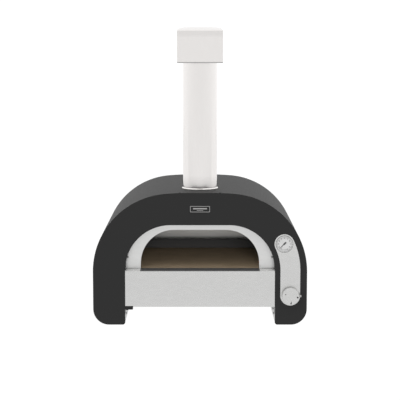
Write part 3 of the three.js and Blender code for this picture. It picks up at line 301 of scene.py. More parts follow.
def mirrored(left):
    """A line that ends on the middle, followed by its mirror image."""
    return np.concatenate([left, (left * (-1, 1))[-2::-1]])


def filleted(points, radii, closed=False, steps=4):
    """Rounds corners with true arcs: each is the rational quadratic curve between its tangent points whose
    middle weight is the cosine of half the turn."""
    points = np.asarray(points, float)
    radii = np.broadcast_to(np.asarray(radii, float), len(points)).copy()
    before = np.roll(points, 1, axis=0) - points
    after = np.roll(points, -1, axis=0) - points
    if not closed:
        radii[[0, -1]] = 0
    spans = [np.maximum(np.linalg.norm(side, axis=1), 1e-12) for side in (before, after)]
    before, after = before / spans[0][:, None], after / spans[1][:, None]
    turn = np.pi - np.arccos(np.clip((before * after).sum(axis=1), -1, 1))
    cut = np.minimum(radii * np.tan(np.clip(turn, 0, 3) / 2), 0.49 * np.minimum(*spans))
    share = np.linspace(0, 1, steps + 1)[None, :, None]
    weight = np.cos(turn / 2)[:, None, None]
    start = (points + before * cut[:, None])[:, None]
    end = (points + after * cut[:, None])[:, None]
    parts = [(1 - share) ** 2, 2 * share * (1 - share) * weight, share ** 2]
    curve = (parts[0] * start + parts[1] * points[:, None] + parts[2] * end) / sum(parts)
    keep = np.ones(curve.shape[:2], bool)
    keep[cut < 1e-9, 1:] = False
    return curve[keep]


def normals(line, closed=True):
    """Mitred normals to the right of a line: (n1 + n2) / (1 + n1 . n2) of the two edges at each point."""
    edges = np.roll(line, -1, axis=0) - line
    if not closed:
        edges[-1] = edges[-2]
    edges = edges / np.maximum(np.linalg.norm(edges, axis=1), 1e-12)[:, None]
    right = np.stack([edges[:, 1], -edges[:, 0]], axis=1)
    previous = np.roll(right, 1, axis=0)
    if not closed:
        previous[0] = right[0]
    return (right + previous) / np.maximum(1 + (right * previous).sum(axis=1), 0.2)[:, None]


def outward(loop):
    """Normals that point out of a closed loop: the sign of its area, sum(x1 z2 - x2 z1), picks the side."""
    following = np.roll(loop, -1, axis=0)
    area = (loop[:, 0] * following[:, 1] - following[:, 0] * loop[:, 1]).sum()
    return normals(loop) * np.sign(area)


def rectangle(left, bottom, right, top):
    """Its corners from the lower left, by way of the lower right."""
    return [(left, bottom), (right, bottom), (right, top), (left, top)]


def angled(start, level, upright, end):
    """An L: along a level as far as an upright, and up or down that to its end."""
    return [(start, level), (upright, level), (upright, end)]


def circle(centre, radius, steps=72):
    return arc(centre[0], centre[2], radius, 0, 360, steps)[:-1]


def around(centre, radius, turn):
    """The point at a radius and angle round a centre, c + r (cos a, sin a) in x and z, at y = 0."""
    return centre[0] + radius * math.cos(turn), 0, centre[2] + radius * math.sin(turn)


def folded(points, thickness, bend):
    """Outline of a folded sheet: its filleted middle line, moved to both sides by half its thickness."""
    line = filleted(points, bend, steps=5)
    out = normals(line, closed=False) * thickness / 2
    return np.concatenate([line + out, (line - out)[::-1]])


def body_line(sizes, inset=0.0):
    """The body's outline from one leg over the arch to the other, drawn inwards by the inset: arcs for foot,
    shoulder and crown, with grid lines at the notches and beside the flue."""
    shoulder = BODY_HALF - sizes.shoulder_inset
    lean = math.asin((sizes.shoulder_inset - sizes.crown_flat) / (sizes.crown_radius - shoulder))
    crown_z = BODY_TOP - sizes.crown_radius
    shoulder_z = crown_z + (sizes.crown_radius - shoulder) * math.cos(lean)
    half = sizes.relief_width / 2
    stops = [PATCH, sizes.relief_offset + half, sizes.relief_offset - half]
    stops = [(stop - sizes.crown_flat) / sizes.crown_radius for stop in stops]
    stops = np.degrees([lean, *np.arcsin(stops), 0])
    foot = BODY_HALF - sizes.foot_radius
    parts = [
        arc(-foot, sizes.foot_radius, sizes.foot_radius - inset, 270, 180, 14),
        arc(-sizes.shoulder_inset, shoulder_z, shoulder - inset, 180, 90 + stops[0], 48),
        *[arc(-sizes.crown_flat, crown_z, sizes.crown_radius - inset, 90 + start, 90 + end, steps)[1:]
          for start, end, steps in zip(stops, stops[1:], (5, 1, 1, 3))],
        np.linspace((-sizes.crown_flat, BODY_TOP - inset), (0, BODY_TOP - inset), 5)[1:],
    ]
    return mirrored(np.concatenate(parts))


def arch_line(half, top, radius, foot, offset=0.0):
    """A flat topped arch from foot to foot, drawn outwards by the offset."""
    corner = half - radius
    top = top + offset
    edges = [-corner] + ([-PATCH] if corner > PATCH else [])
    flat = np.linspace(edges[-1], 0, 7)[1:]
    xs = np.concatenate([edges[1:], flat])
    return mirrored(np.concatenate([
        [[-half - offset, foot]],
        arc(-corner, top - offset - radius, radius + offset, 180, 90, 40),
        np.stack([xs, np.full(len(xs), top)], axis=1),
    ]))


def panel_outline(sizes):
    """The body's face with both legs, up to the inner edges of the legs."""
    heel = sizes.opening_half + sizes.heel_radius
    right = arc(heel, sizes.heel_radius, sizes.heel_radius, 270, 180, 8)
    left = (right * (-1, 1))[::-1]
    return np.concatenate([left, body_line(sizes), right])


def opening_line(sizes, offset=0.0, foot=0.0):
    return arch_line(sizes.opening_half, sizes.opening_top, sizes.opening_radius, foot, offset)


# Surfaces
FACING, SIDEWAYS = (0, 2, 1), (1, 2, 0)


class Shape:
    """Points and faces of one or more closed shells, put together before they become a mesh."""

    def __init__(self):
        self.points, self.faces, self.starts, self.count = [], [], [], 0

    def shell(self):
        self.starts.append(self.count)
        return self

    def add(self, points, faces):
        points = np.asarray(points, float).reshape(-1, 3)
        self.points.append(points)
        self.faces.extend((np.asarray(faces) + self.count).tolist())
        self.count += len(points)
        return self


def grid_faces(rows, columns, closed=False):
    """Quads (r, c), (r, c + 1), (r + 1, c + 1), (r + 1, c) over points numbered row by row."""
    r, c = np.meshgrid(np.arange(rows - 1), np.arange(columns if closed else columns - 1), indexing="ij")
    r, c = r.ravel(), c.ravel()
    following = (c + 1) % columns
    return np.stack([r * columns + c, r * columns + following,
                     (r + 1) * columns + following, (r + 1) * columns + c], axis=1)


def filled(loops):
    """Triangles that fill the first loop less the others."""
    return np.array(tessellate_polygon([[(u, v, 0) for u, v in loop] for loop in loops]))


def placed(coordinates, axes):
    """Points whose three coordinates go to the given axes of the row frame."""
    points = np.empty_like(coordinates)
    points[..., list(axes)] = coordinates
    return points


def rim(loop, near, far, near_round=0.0, far_round=0.0, hole=False, steps=3):
    """Rings from the near face to the far face round a loop: at angle a round an edge, the ring lies
    r (1 - sin a) inside the material's edge at a depth of r (1 - cos a) from the face."""
    turn = np.radians(np.linspace(0, 90, steps + 1))[:, None]
    out = outward(loop) * (1 if hole else -1)
    rings = []
    for radius, face, way, angles in ((near_round, near, 1, turn), (far_round, far, -1, turn[::-1])):
        radius = np.broadcast_to(np.asarray(radius, float), len(loop))[None]
        inset = radius * (1 - np.sin(angles))
        depth = face + way * radius * (1 - np.cos(angles))
        rings.append(np.concatenate([loop[None] + inset[..., None] * out[None], depth[..., None]], axis=-1))
    return np.concatenate(rings)


def plate(shape, rims, axes):
    """A flat body between two faces: the first rim is its outline, the rest are holes."""
    shape.shell()
    for rings in rims:
        shape.add(placed(rings, axes), grid_faces(*rings.shape[:2], closed=True))
    for end in (0, -1):
        loops = [rings[end] for rings in rims]
        shape.add(placed(np.concatenate(loops), axes), filled([loop[:, :2] for loop in loops]))
    return shape


def turned(shape, profile, centre, axis, sides=96, hexagon=None, closed=False):
    """A profile of (radius, height) pairs turned round an axis. Where hexagon is true, the radius at angle a
    is divided by cos(((a + 30) mod 60) - 30)."""
    profile = np.asarray(profile, float)
    if closed:
        profile = np.concatenate([profile, profile[:1]])
    turn = np.linspace(0, 2 * np.pi, sides, endpoint=False)
    sixth = np.pi / 3
    widen = np.ones((len(profile), sides))
    if hexagon is not None:
        flags = np.resize(hexagon, len(profile)).astype(bool)
        widen[flags] = 1 / np.cos((turn + sixth / 2) % sixth - sixth / 2)
    radius = profile[:, :1] * widen
    across, up, along = {"X": (1, 2, 0), "Y": (0, 2, 1), "Z": (0, 1, 2)}[axis]
    points = np.zeros((*radius.shape, 3)) + np.asarray(centre)
    points[..., across] += radius * np.cos(turn)
    points[..., up] += radius * np.sin(turn)
    points[..., along] += profile[:, 1:]
    return shape.shell().add(points, grid_faces(*radius.shape, closed=True))


def disc(shape, centre, radius, low, high, near=0.0, far=0.0, axis="Y", sides=96, steps=4, hexagon=False):
    """A round or hexagonal bar between two heights on an axis, with its two rims rounded."""
    profile = filleted(rectangle(0, low, radius, high), (0, near, far, 0), steps=steps)
    return turned(shape, profile, centre, axis, sides, [False, *[hexagon] * (len(profile) - 2), False])


def bent(shape, points, thickness, bend, ends, edge, axes=SIDEWAYS):
    """A folded sheet whose section lies in y and z, or x and z, and which runs along the third axis, with
    eased cut edges."""
    loop = filleted(folded(points, thickness, bend), 0.25 * thickness, closed=True, steps=2)
    return plate(shape, [rim(loop, *ends, edge, edge)], axes)


def rounded_box(shape, low, high, radius, steps=3):
    """A box whose edges are arcs: its middle, plus the signed half size less r, plus r times the direction
    at a latitude and longitude, each quarter of which keeps its own signs."""
    low, high = np.minimum(low, high), np.maximum(low, high)
    radius = min(radius, 0.49 * (high - low).min())
    quarter = np.linspace(0, np.pi / 2, steps + 1)
    count = steps + 1
    latitude = np.concatenate([quarter - np.pi / 2, quarter])[:, None]
    longitude = np.concatenate([quarter + turn * np.pi / 2 for turn in range(4)])[None]
    signs = np.stack(np.broadcast_arrays(
        np.repeat([1, -1, -1, 1], count)[None],
        np.repeat([1, 1, -1, -1], count)[None],
        np.repeat([-1, 1], count)[:, None]), axis=-1)
    way = np.stack(np.broadcast_arrays(
        np.cos(latitude) * np.cos(longitude), np.cos(latitude) * np.sin(longitude),
        np.sin(latitude)), axis=-1)
    points = (low + high) / 2 + signs * ((high - low) / 2 - radius) + radius * way
    rows, columns = 2 * count, 4 * count
    shape.shell()
    first = shape.count
    shape.add(points, grid_faces(rows, columns, closed=True))
    ring = np.arange(0, columns, count) + first
    shape.faces.append(ring.tolist())
    shape.faces.append((ring + (rows - 1) * columns).tolist())
    return shape


def band(shape, lines, depths, notches=(), hole=None):
    """An arched sheet: row j is the j-th line at the j-th depth. Cells over a notch (x from, x to, depth) and
    over the square round a hole (centre y, radius) stay open; the square's rim runs to the hole's circle as
    P + t (C - P), at the height that the line has at that x."""
    lines = np.asarray(lines)
    points = np.stack([lines[..., 0], np.broadcast_to(np.asarray(depths)[:, None], lines.shape[:2]),
                       lines[..., 1]], axis=-1)
    rows, columns = points.shape[:2]
    faces = grid_faces(rows, columns)
    centre = points.reshape(-1, 3)[faces].mean(axis=1)
    crown = centre[:, 2] > points[..., 2].max() * CROWN
    keep = np.ones(len(faces), bool)
    for start, end, depth in notches:
        inside = np.abs(centre[:, 0] - (start + end) / 2) < (end - start) / 2
        keep &= ~(crown & inside & (centre[:, 1] < depth))
    shape.shell()
    if hole is not None:
        y, radius = hole
        keep &= ~(crown & (np.abs(centre[:, 0]) < PATCH) & (np.abs(centre[:, 1] - y) < PATCH))
        js = np.flatnonzero(np.abs(points[:, 0, 1] - y) < PATCH + WELD)
        row = points[js[0]]
        high = row[:, 2] > row[:, 2].max() * CROWN
        used = np.flatnonzero(high & (np.abs(row[:, 0]) < PATCH + WELD))
        edge = np.concatenate([points[js[0], used], points[js[1:], used[-1]],
                               points[js[-1], used[-2::-1]], points[js[-2:0:-1], used[0]]])
        arm = edge[:, :2] - (0, y)
        inner = (0, y) + arm * (radius / np.linalg.norm(arm, axis=1))[:, None]
        share = np.linspace(0, 1, 5)[:, None, None]
        flat = edge[None, :, :2] * (1 - share) + inner[None] * share
        height = np.interp(flat[..., 0], row[used, 0], row[used, 2])
        rings = np.concatenate([flat, height[..., None]], axis=-1)
        shape.add(rings, grid_faces(*rings.shape[:2], closed=True))
    return shape.add(points, faces[keep])


def piece(name, shape, material, slot, *nodes, body=ROOT, thickness=0.0, offset=-1, bevel=0.0, sharp=40):
    """Makes the mesh, welds each shell, turns its normals outwards, ties it to its body and hides the
    construction nodes that it replaces. The slot is not used."""
    mesh = bpy.data.meshes.new(name)
    mesh.from_pydata(np.concatenate(shape.points).tolist(), [], shape.faces)
    form = bmesh.new()
    form.from_mesh(mesh)
    points = list(form.verts)
    for start, stop in zip(shape.starts, shape.starts[1:] + [shape.count]):
        bmesh.ops.remove_doubles(form, verts=points[start:stop], dist=WELD)
    bmesh.ops.recalc_face_normals(form, faces=form.faces)
    form.to_mesh(mesh)
    form.free()
    mesh.polygons.foreach_set("use_smooth", np.ones(len(mesh.polygons), bool))
    mesh.set_sharp_from_angle(angle=math.radians(sharp))
    mesh.materials.append(material)
    thing = bpy.data.objects.new(name, mesh)
    bpy.context.scene.collection.objects.link(thing)
    if thickness:
        solid = thing.modifiers.new("Sheet", "SOLIDIFY")
        solid.thickness, solid.offset, solid.use_even_offset = thickness, offset, True
    if bevel:
        edges = thing.modifiers.new("Edges", "BEVEL")
        edges.width, edges.segments, edges.limit_method = bevel, 2, "ANGLE"
        edges.angle_limit = math.radians(sharp)
    weights = thing.modifiers.new("Normals", "WEIGHTED_NORMAL")
    weights.keep_sharp = True
    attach(thing, body)
    if nodes:
        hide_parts(*nodes)


# Materials
# Range that noise mostly keeps to
USUAL = {"From Min": 0.3, "From Max": 0.7}


def add(tree, kind, settings=None, values=None, links=None):
    """Adds a node, sets its settings and input values, and links sockets to its inputs."""
    node = tree.nodes.new(kind)
    for key, value in (settings or {}).items():
        setattr(node, key, value)
    for key, value in (values or {}).items():
        node.inputs[key].default_value = value
    for key, socket in (links or {}).items():
        tree.links.new(socket, node.inputs[key])
    return node


def blank(name, values):
    """A material whose shader has the given input values, and its object coordinates."""
    material = bpy.data.materials.get(name) or bpy.data.materials.new(name)
    material.use_nodes = True
    tree = material.node_tree
    tree.nodes.clear()
    shader = add(tree, "ShaderNodeBsdfPrincipled", values=values)
    add(tree, "ShaderNodeOutputMaterial", links={"Surface": shader.outputs["BSDF"]})
    return material, tree, shader, add(tree, "ShaderNodeTexCoord").outputs["Object"]


def grain(tree, place, size, detail=2.0, rough=0.5):
    """Noise whose cells have the given size in millimetres, or one size each along x, y and z."""
    scale = add(tree, "ShaderNodeMapping", values={"Scale": tuple(1 / (np.broadcast_to(size, 3) * MM))},
                links={"Vector": place})
    noise = add(tree, "ShaderNodeTexNoise", values={"Scale": 1.0, "Detail": detail, "Roughness": rough},
                links={"Vector": scale.outputs["Vector"]})
    return noise.outputs["Fac"]


def blended(tree, factor, low, high):
    """A colour that runs from low to high over the noise's usual range."""
    share = add(tree, "ShaderNodeMapRange", values=USUAL, links={"Value": factor}).outputs["Result"]
    mix = add(tree, "ShaderNodeMix", {"data_type": "RGBA"}, {6: (*low, 1), 7: (*high, 1)}, {0: share})
    return mix.outputs[2]


def surface(name, base, roughness, metallic, size, tone=0.02, uneven=0.03, relief=0.0, specular=0.5,
            detail=2.0, band=None):
    """A finish whose colour, gloss and relief follow one grain: tone and uneven are shares of colour and
    roughness, relief is the grain's height in millimetres. A band (from, to, share) dims it between two
    heights in metres."""
    material, tree, shader, place = blank(name, {"Metallic": metallic, "Specular IOR Level": specular})
    factor = grain(tree, place, size, detail)
    base = np.asarray(base)
    color = blended(tree, factor, np.clip(base * (1 - tone), 0, 1), np.clip(base * (1 + tone), 0, 1))
    if band:
        start, end, share = band
        height = add(tree, "ShaderNodeSeparateXYZ", links={"Vector": place}).outputs["Z"]
        dim = add(tree, "ShaderNodeMapRange", links={"Value": height},
                  values={"From Min": start, "From Max": end, "To Min": 1.0, "To Max": share})
        color = add(tree, "ShaderNodeVectorMath", {"operation": "SCALE"},
                    links={0: color, "Scale": dim.outputs["Result"]}).outputs["Vector"]
    tree.links.new(color, shader.inputs["Base Color"])
    gloss = add(tree, "ShaderNodeMapRange", links={"Value": factor},
                values={**USUAL, "To Min": roughness - uneven, "To Max": roughness + uneven})
    tree.links.new(gloss.outputs["Result"], shader.inputs["Roughness"])
    if relief:
        bump = add(tree, "ShaderNodeBump", values={"Distance": relief * MM}, links={"Height": factor})
        tree.links.new(bump.outputs["Normal"], shader.inputs["Normal"])
    material.diffuse_color = (*base, 1)
    return material


def materials(look):
    """Every finish, by the name of the real material."""
    brushed = {"tone": 0.022, "uneven": 0.015, "detail": 3}
    drawn = {"tone": 0.012, "uneven": 0.02, "detail": 4}
    return {
        # A fine orange peel keeps the dark coat from looking like plastic film
        "coat": surface("powder-coated steel", look.coat, 0.55, 0, 0.9, 0.05, 0.04, 0.02, 0.15),
        # Level brush lines spread the reflected surroundings to an even light grey. Real ones are too fine to
        # show, so they are drawn 9 mm wide
        "satin": surface("fine brushed stainless steel", look.satin, 0.27, 1, (24, 9, 9), **brushed),
        # The same sheet and brush lines, painted a little brighter as painted light so the recess stays
        # light, and dimmed towards its crown
        "bright": surface("fine brushed stainless steel, painted light", look.bright, 0.3, 1, (24, 9, 9),
                          band=(0.23, 0.34, 0.93), **brushed),
        # Unbrushed sheet inside the legs, a shade greyer than the faces, with rolling marks drawn as 6 mm
        # clouds, because real ones are too fine to show
        "mill": surface("mill finish stainless steel", look.mill, 0.38, 1, 6, 0.03, 0.03),
        # Brighter than the body's steel, brushed along the tube, and darkened at its foot by a painted
        # reflection of the dark body round it. Its lines are drawn 4 mm wide, because real ones are too fine
        # to show
        "flue": surface("bright brushed stainless steel", look.flue, 0.17, 1, (4, 4, 30),
                        band=(0.51, 0.468, 0.79), **drawn),
        # The same steel and lines on cap and ring, with painted shade that darkens the cap from just under
        # its creases up
        "cap": surface("bright brushed stainless steel, painted crease shade", look.flue, 0.2, 1, (4, 4, 30),
                       band=(0.988, 1.0, 0.93), **drawn),
        # The folded edges are painted darker, painted shade that draws a dark line under the cap
        "hem": surface("dark stainless steel, painted hem shade", look.hem, 0.5, 1, 0.6, 0.05, 0.05),
        # Strip and guard scaled grey by the flames
        "oxide": surface("oxidised steel", look.oxide, 0.7, 0, (4, 4, 2), 0.12, 0.05, 0.02),
        # Black heat proof lacquer, dull and a little uneven
        "blacked": surface("black lacquered steel", look.blacked, 0.75, 0, 3, 0.1, 0.05, 0.01, 0.15),
        # Soft mineral wool mat with long shallow folds
        "fibre": surface("ceramic fibre", look.fibre, 0.95, 0, (6, 3, 3), 0.05, 0.03, 0.4),
        # Turned brass, bright on its edges
        "brass": surface("turned brass", look.brass, 0.28, 1, (0.2, 4, 0.2), 0.03, 0.05),
        # Drawn copper with a slight tarnish
        "copper": surface("drawn copper", look.copper, 0.32, 1, 8, 0.12, 0.08),
        # Dense white insulator with a faint glaze
        "ceramic": surface("alumina ceramic", look.ceramic, 0.35, 0, 2, 0.02, 0.03),
        # Flat enamel that shows the needle and its marks clearly
        "dial": surface("dial enamel", look.dial, 0.6, 0, 1.5, 0.01, 0.02),
        # Pad printed ink, flatter than what it is printed on
        "ink": surface("pad printed ink", look.ink, 0.6, 0, 0.8, 0.08, 0.03),
        # Dark chromate over zinc, with the sheen of small screws
        "zinc": surface("black zinc plating", look.zinc, 0.4, 1, 1, 0.1, 0.05),
        # Straw and grey heat tint that breaks up what the chamber mirrors
        "liner": liner("heat tinted liner steel", look.liner, 0.5),
        # The back wall's smoother sheet mirrors the bright mouth in its upper part
        "mirror": liner("heat tinted back wall steel", look.mirror, 0.32),
        # Dull brown with visible grains, the one warm colour in the mouth
        "stone": stone(look.stone),
        # Almost unseen, with a faint sheen over the dial
        "glass": glass(),
    }


def liner(name, base, roughness):
    """Bare chamber steel: a straw and grey heat tint in broad clouds over fine rolling marks."""
    material, tree, shader, place = blank(name, {"Metallic": 1.0})
    clouds = grain(tree, place, (120, 90, 60), 3.0)
    base = np.asarray(base)
    tree.links.new(blended(tree, clouds, base * (0.92, 0.91, 0.89), base), shader.inputs["Base Color"])
    lines = grain(tree, place, (0.6, 20, 20))
    gloss = add(tree, "ShaderNodeMapRange", links={"Value": lines},
                values={"To Min": roughness - 0.06, "To Max": roughness + 0.06})
    tree.links.new(gloss.outputs["Result"], shader.inputs["Roughness"])
    return material


def stone(base):
    """Pressed cordierite: brown body, pale and dark grains of about 1 mm, and a shallow pitted relief."""
    material, tree, shader, place = blank("cordierite stone", {"Roughness": 0.9, "Specular IOR Level": 0.25})
    base = np.asarray(base)
    body = blended(tree, grain(tree, place, 60, 4.0), base * 0.93, np.clip(base * 1.07, 0, 1))
    specks = grain(tree, place, 1.2, 3.0, 0.7)
    shade = blended(tree, specks, (0.8, 0.8, 0.8), (1.15, 1.14, 1.12))
    mix = add(tree, "ShaderNodeMix", {"data_type": "RGBA", "blend_type": "MULTIPLY"}, {0: 1.0},
              {6: body, 7: shade})
    tree.links.new(mix.outputs[2], shader.inputs["Base Color"])
    bump = add(tree, "ShaderNodeBump", values={"Distance": 0.15 * MM}, links={"Height": specks})
    tree.links.new(bump.outputs["Normal"], shader.inputs["Normal"])
    return material


def glass():
    """Clear flat glass: it passes straight through, and reflects by the Fresnel share of its slightly uneven
    face."""
    material, tree, shader, place = blank("borosilicate glass", {})
    tree.nodes.remove(shader)
    uneven = add(tree, "ShaderNodeBump", values={"Distance": 0.005 * MM},
                 links={"Height": grain(tree, place, 12)}).outputs["Normal"]
    share = add(tree, "ShaderNodeFresnel", values={"IOR": 1.47}, links={"Normal": uneven})
    back = add(tree, "ShaderNodeNewGeometry").outputs["Backfacing"]
    share = add(tree, "ShaderNodeMix", values={3: 0.0}, links={0: back, 2: share.outputs["Fac"]})
    clear = add(tree, "ShaderNodeBsdfTransparent", values={"Color": (0.974, 0.974, 0.973, 1)})
    shine = add(tree, "ShaderNodeBsdfGlossy", values={"Roughness": 0.03}, links={"Normal": uneven})
    mix = add(tree, "ShaderNodeMixShader", links={0: share.outputs[0], 1: clear.outputs["BSDF"],
                                                  2: shine.outputs["BSDF"]})
    output = next(node for node in tree.nodes if node.type == "OUTPUT_MATERIAL")
    tree.links.new(mix.outputs["Shader"], output.inputs["Surface"])
    return material


# Builders
def settings(context, *names):
    """The named groups of sizes, and every finish."""
    groups = [getattr(context.scene, "oven_" + name) for name in names]
    return (*groups, materials(context.scene.oven_look))


def flue_hole(context):
    """Centre and radius of the hole that the spigot passes through."""
    scene = context.scene
    return FLUE[1], COLLAR_HIGH[0] - scene.oven_flue.spigot_foot + scene.oven_body.gap


class BodyBuilder(Operator):
    """Skin, front face with its collar, rear panel and badge"""
    bl_idname = "oven.body"
    bl_label = "Body"

    def execute(self, context):
        sizes, hearth, controls, look = settings(context, "body", "hearth", "controls")
        low, high = SKIN_LOW[1], SKIN_HIGH[1]
        turn = np.radians(np.linspace(0, 90, 6))
        bend = sizes.bend + sizes.sheet / 2
        slit = low + sizes.relief_depth
        straight = np.concatenate([[low, slit], np.linspace(slit, FLUE_ROWS[0], 4)[1:-1], FLUE_ROWS,
                                   np.linspace(FLUE_ROWS[-1], high - bend, 8)[1:-1]])
        inset = np.concatenate([np.zeros(len(straight)), bend * (1 - np.cos(turn)), [sizes.rear_lip]])
        depths = np.concatenate([straight, high - bend + bend * np.sin(turn), [high]])
        end, half = FIT_HALF + sizes.heel_radius, sizes.relief_width / 2
        lines = [np.concatenate([[(-end, step)], body_line(sizes, step), [(end, step)]]) for step in inset]
        notches = [(side * sizes.relief_offset - half, side * sizes.relief_offset + half, slit)
                   for side in SIDES]
        piece("skin", band(Shape(), lines, depths, notches, flue_hole(context)), look["coat"],
              "anthracite_paint", "outer_shell", thickness=sizes.sheet, bevel=sizes.trim)

        opening = opening_line(sizes, foot=HEARTH + sizes.gap)
        outline = np.concatenate([panel_outline(sizes), opening[::-1]])
        rounding = np.where(np.arange(len(outline)) < len(outline) - len(opening), sizes.edge,
                            sizes.opening_bend)
        faces = FRONT, FRONT + sizes.sheet
        holes = [rim(circle(*hole), *faces, hole=True)
                 for hole in ((NECK, controls.neck_radius), (GAUGE, controls.case_radius))]
        shape = plate(Shape(), [rim(outline, *faces, rounding), *holes], FACING)
        collar = np.concatenate([opening_line(sizes, sizes.sheet, HEARTH + sizes.gap), opening[::-1]])
        plate(shape, [rim(collar, faces[1], COLLAR_END, 0, sizes.edge)], FACING)
        piece("front_face", shape, look["coat"], "anthracite_paint", "front_frame")

        low, half = PANEL_LOW[2], hearth.vent_half
        outline = np.concatenate([panel_outline(sizes),
                                  [(sizes.opening_half, low), (-sizes.opening_half, low)]])
        bottom, top = hearth.vent_bottom, hearth.vent_bottom + hearth.vent_length
        slots = [filleted(rectangle(x - half, bottom, x + half, top), half * 0.95, closed=True)
                 for x in (np.arange(hearth.vents) - (hearth.vents - 1) / 2) * hearth.vent_pitch]
        slots.append(circle(INLET, sizes.inlet_hole))
        faces = BACK - sizes.sheet, BACK
        holes = [rim(slot, *faces, 0, sizes.edge / 2, hole=True) for slot in slots]
        shape = plate(Shape(), [rim(outline, *faces, 0, sizes.edge), *holes], FACING)
        rounded_box(shape, (-FIT_HALF, BACK - sizes.flange, low),
                    (FIT_HALF, BACK - sizes.sheet / 2, low + sizes.sheet), sizes.edge)
        piece("back_panel", shape, look["coat"], "anthracite_paint", "rear_panel")

        low, high = BADGE_LOW, BADGE_HIGH
        outer = filleted(rectangle(low[0], low[2], high[0], high[2]), sizes.badge_corner, closed=True)
        inner = outer - outward(outer) * sizes.badge_rim
        floor = low[1] + sizes.badge_depth
        shape = plate(Shape(), [rim(outer, floor, high[1])], FACING)
        piece("badge", shape, look["coat"], "anthracite_paint", "badge_plate")
        shape = plate(Shape(), [rim(outer, low[1], floor, FINE), rim(inner, low[1], floor, FINE, hole=True)],
                      FACING)
        middle = (low[2] + high[2]) / 2
        for width, rise, thick in BADGE_BARS:
            rounded_box(shape, (-width * MM, low[1], middle + (rise - thick / 2) * MM),
                        (width * MM, floor + FINE, middle + (rise + thick / 2) * MM), 0.15 * MM)
        piece("badge_rim", shape, look["hem"], "satin_steel")
        return {"FINISHED"}


class HearthBuilder(Operator):
    """Lower front panel, hearth strip, mouth plate, leg walls, vault, back wall, stone and guard"""
    bl_idname = "oven.hearth"
    bl_label = "Hearth"

    def execute(self, context):
        sizes, hearth, look = settings(context, "body", "hearth")
        sheet, half, edge = sizes.sheet, sizes.sheet / 2, sizes.edge
        low, high = PANEL_LOW - (0, 0, hearth.panel_drop), PANEL_HIGH - (0, 0, hearth.panel_drop)
        line = angled(low[1] + sizes.flange, low[2] + half, low[1] + half, high[2])
        shape = bent(Shape(), line, sheet, sizes.bend, (low[0], high[0]), edge)
        for side in SIDES:
            rounded_box(shape, (side * (STRIP_HIGH[0] + sizes.gap), low[1] + sheet, HEARTH - 2 * sheet),
                        (side * high[0], high[1], HEARTH), edge)
        piece("lower_panel", shape, look["satin"], "satin_steel", "lower_front_panel")

        low, high = STRIP_LOW, STRIP_HIGH
        line = angled(low[1], high[2] - half, high[1] - half, low[2])
        shape = bent(Shape(), line, sheet, sizes.bend, (low[0], high[0]), edge)
        piece("sill_strip", shape, look["oxide"], "dark_steel", "hearth_strip")

        low, high = MOUTH_LOW, MOUTH_HIGH
        outer = opening_line(sizes, hearth.mouth_flange, low[2])
        mouth = arch_line(STRIP_HIGH[0], high[2] - hearth.mouth_head, hearth.mouth_radius, low[2])
        loop = np.concatenate([outer, mouth[::-1]])
        shape = plate(Shape(), [rim(loop, low[1], high[1], edge, edge)], FACING)
        piece("mouth_surround", shape, look["bright"], "satin_steel", "mouth_plate")

        for side, name in SIDES.items():
            low, high = corners(name + "_leg_wall")
            inner, outer = sorted((low[0], high[0]), key=abs)
            foot, upright = sheet + sizes.gap + half, inner + side * half
            line = [(upright, high[2]), (upright, foot), (outer, foot)]
            shape = bent(Shape(), line, sheet, sizes.heel_radius - half, (low[1], high[1] - 2 * sheet), edge,
                         FACING)
            piece("leg_wall_" + name, shape, look["mill"], "satin_steel", name + "_leg_wall")

        low, high = VAULT_LOW, VAULT_HIGH
        top = high[2] - sheet
        depths = np.concatenate([[low[1]], FLUE_ROWS, np.linspace(FLUE_ROWS[-1], high[1], 6)[1:]])
        line = arch_line(hearth.vault_half, top, hearth.vault_radius, low[2])
        line = np.concatenate([[(low[0], low[2])], line, [(high[0], low[2])]])
        shape = band(Shape(), [line] * len(depths), depths, hole=flue_hole(context))
        piece("vault", shape, look["liner"], "liner_steel", "inner_dome", thickness=sheet, offset=1)

        low, high = corners("dome_back")
        line = arch_line(hearth.vault_half, top, hearth.vault_radius, low[2], sheet)
        shape = plate(Shape(), [rim(line, low[1], high[1])], FACING)
        piece("vault_back", shape, look["mirror"], "liner_steel", "dome_back")

        shape = rounded_box(Shape(), STONE_LOW, STONE_HIGH, hearth.stone_edge)
        piece("hearth_stone", shape, look["stone"], "refractory", "refractory_stone")

        low, high = GUARD_LOW, GUARD_HIGH
        line = angled(high[1], low[2] + half, low[1] + half, high[2] + hearth.guard_rise)
        shape = bent(Shape(), line, sheet, sizes.bend, (low[0], high[0]), edge)
        piece("flame_guard", shape, look["oxide"], "dark_steel", "burner_guard")
        return {"FINISHED"}


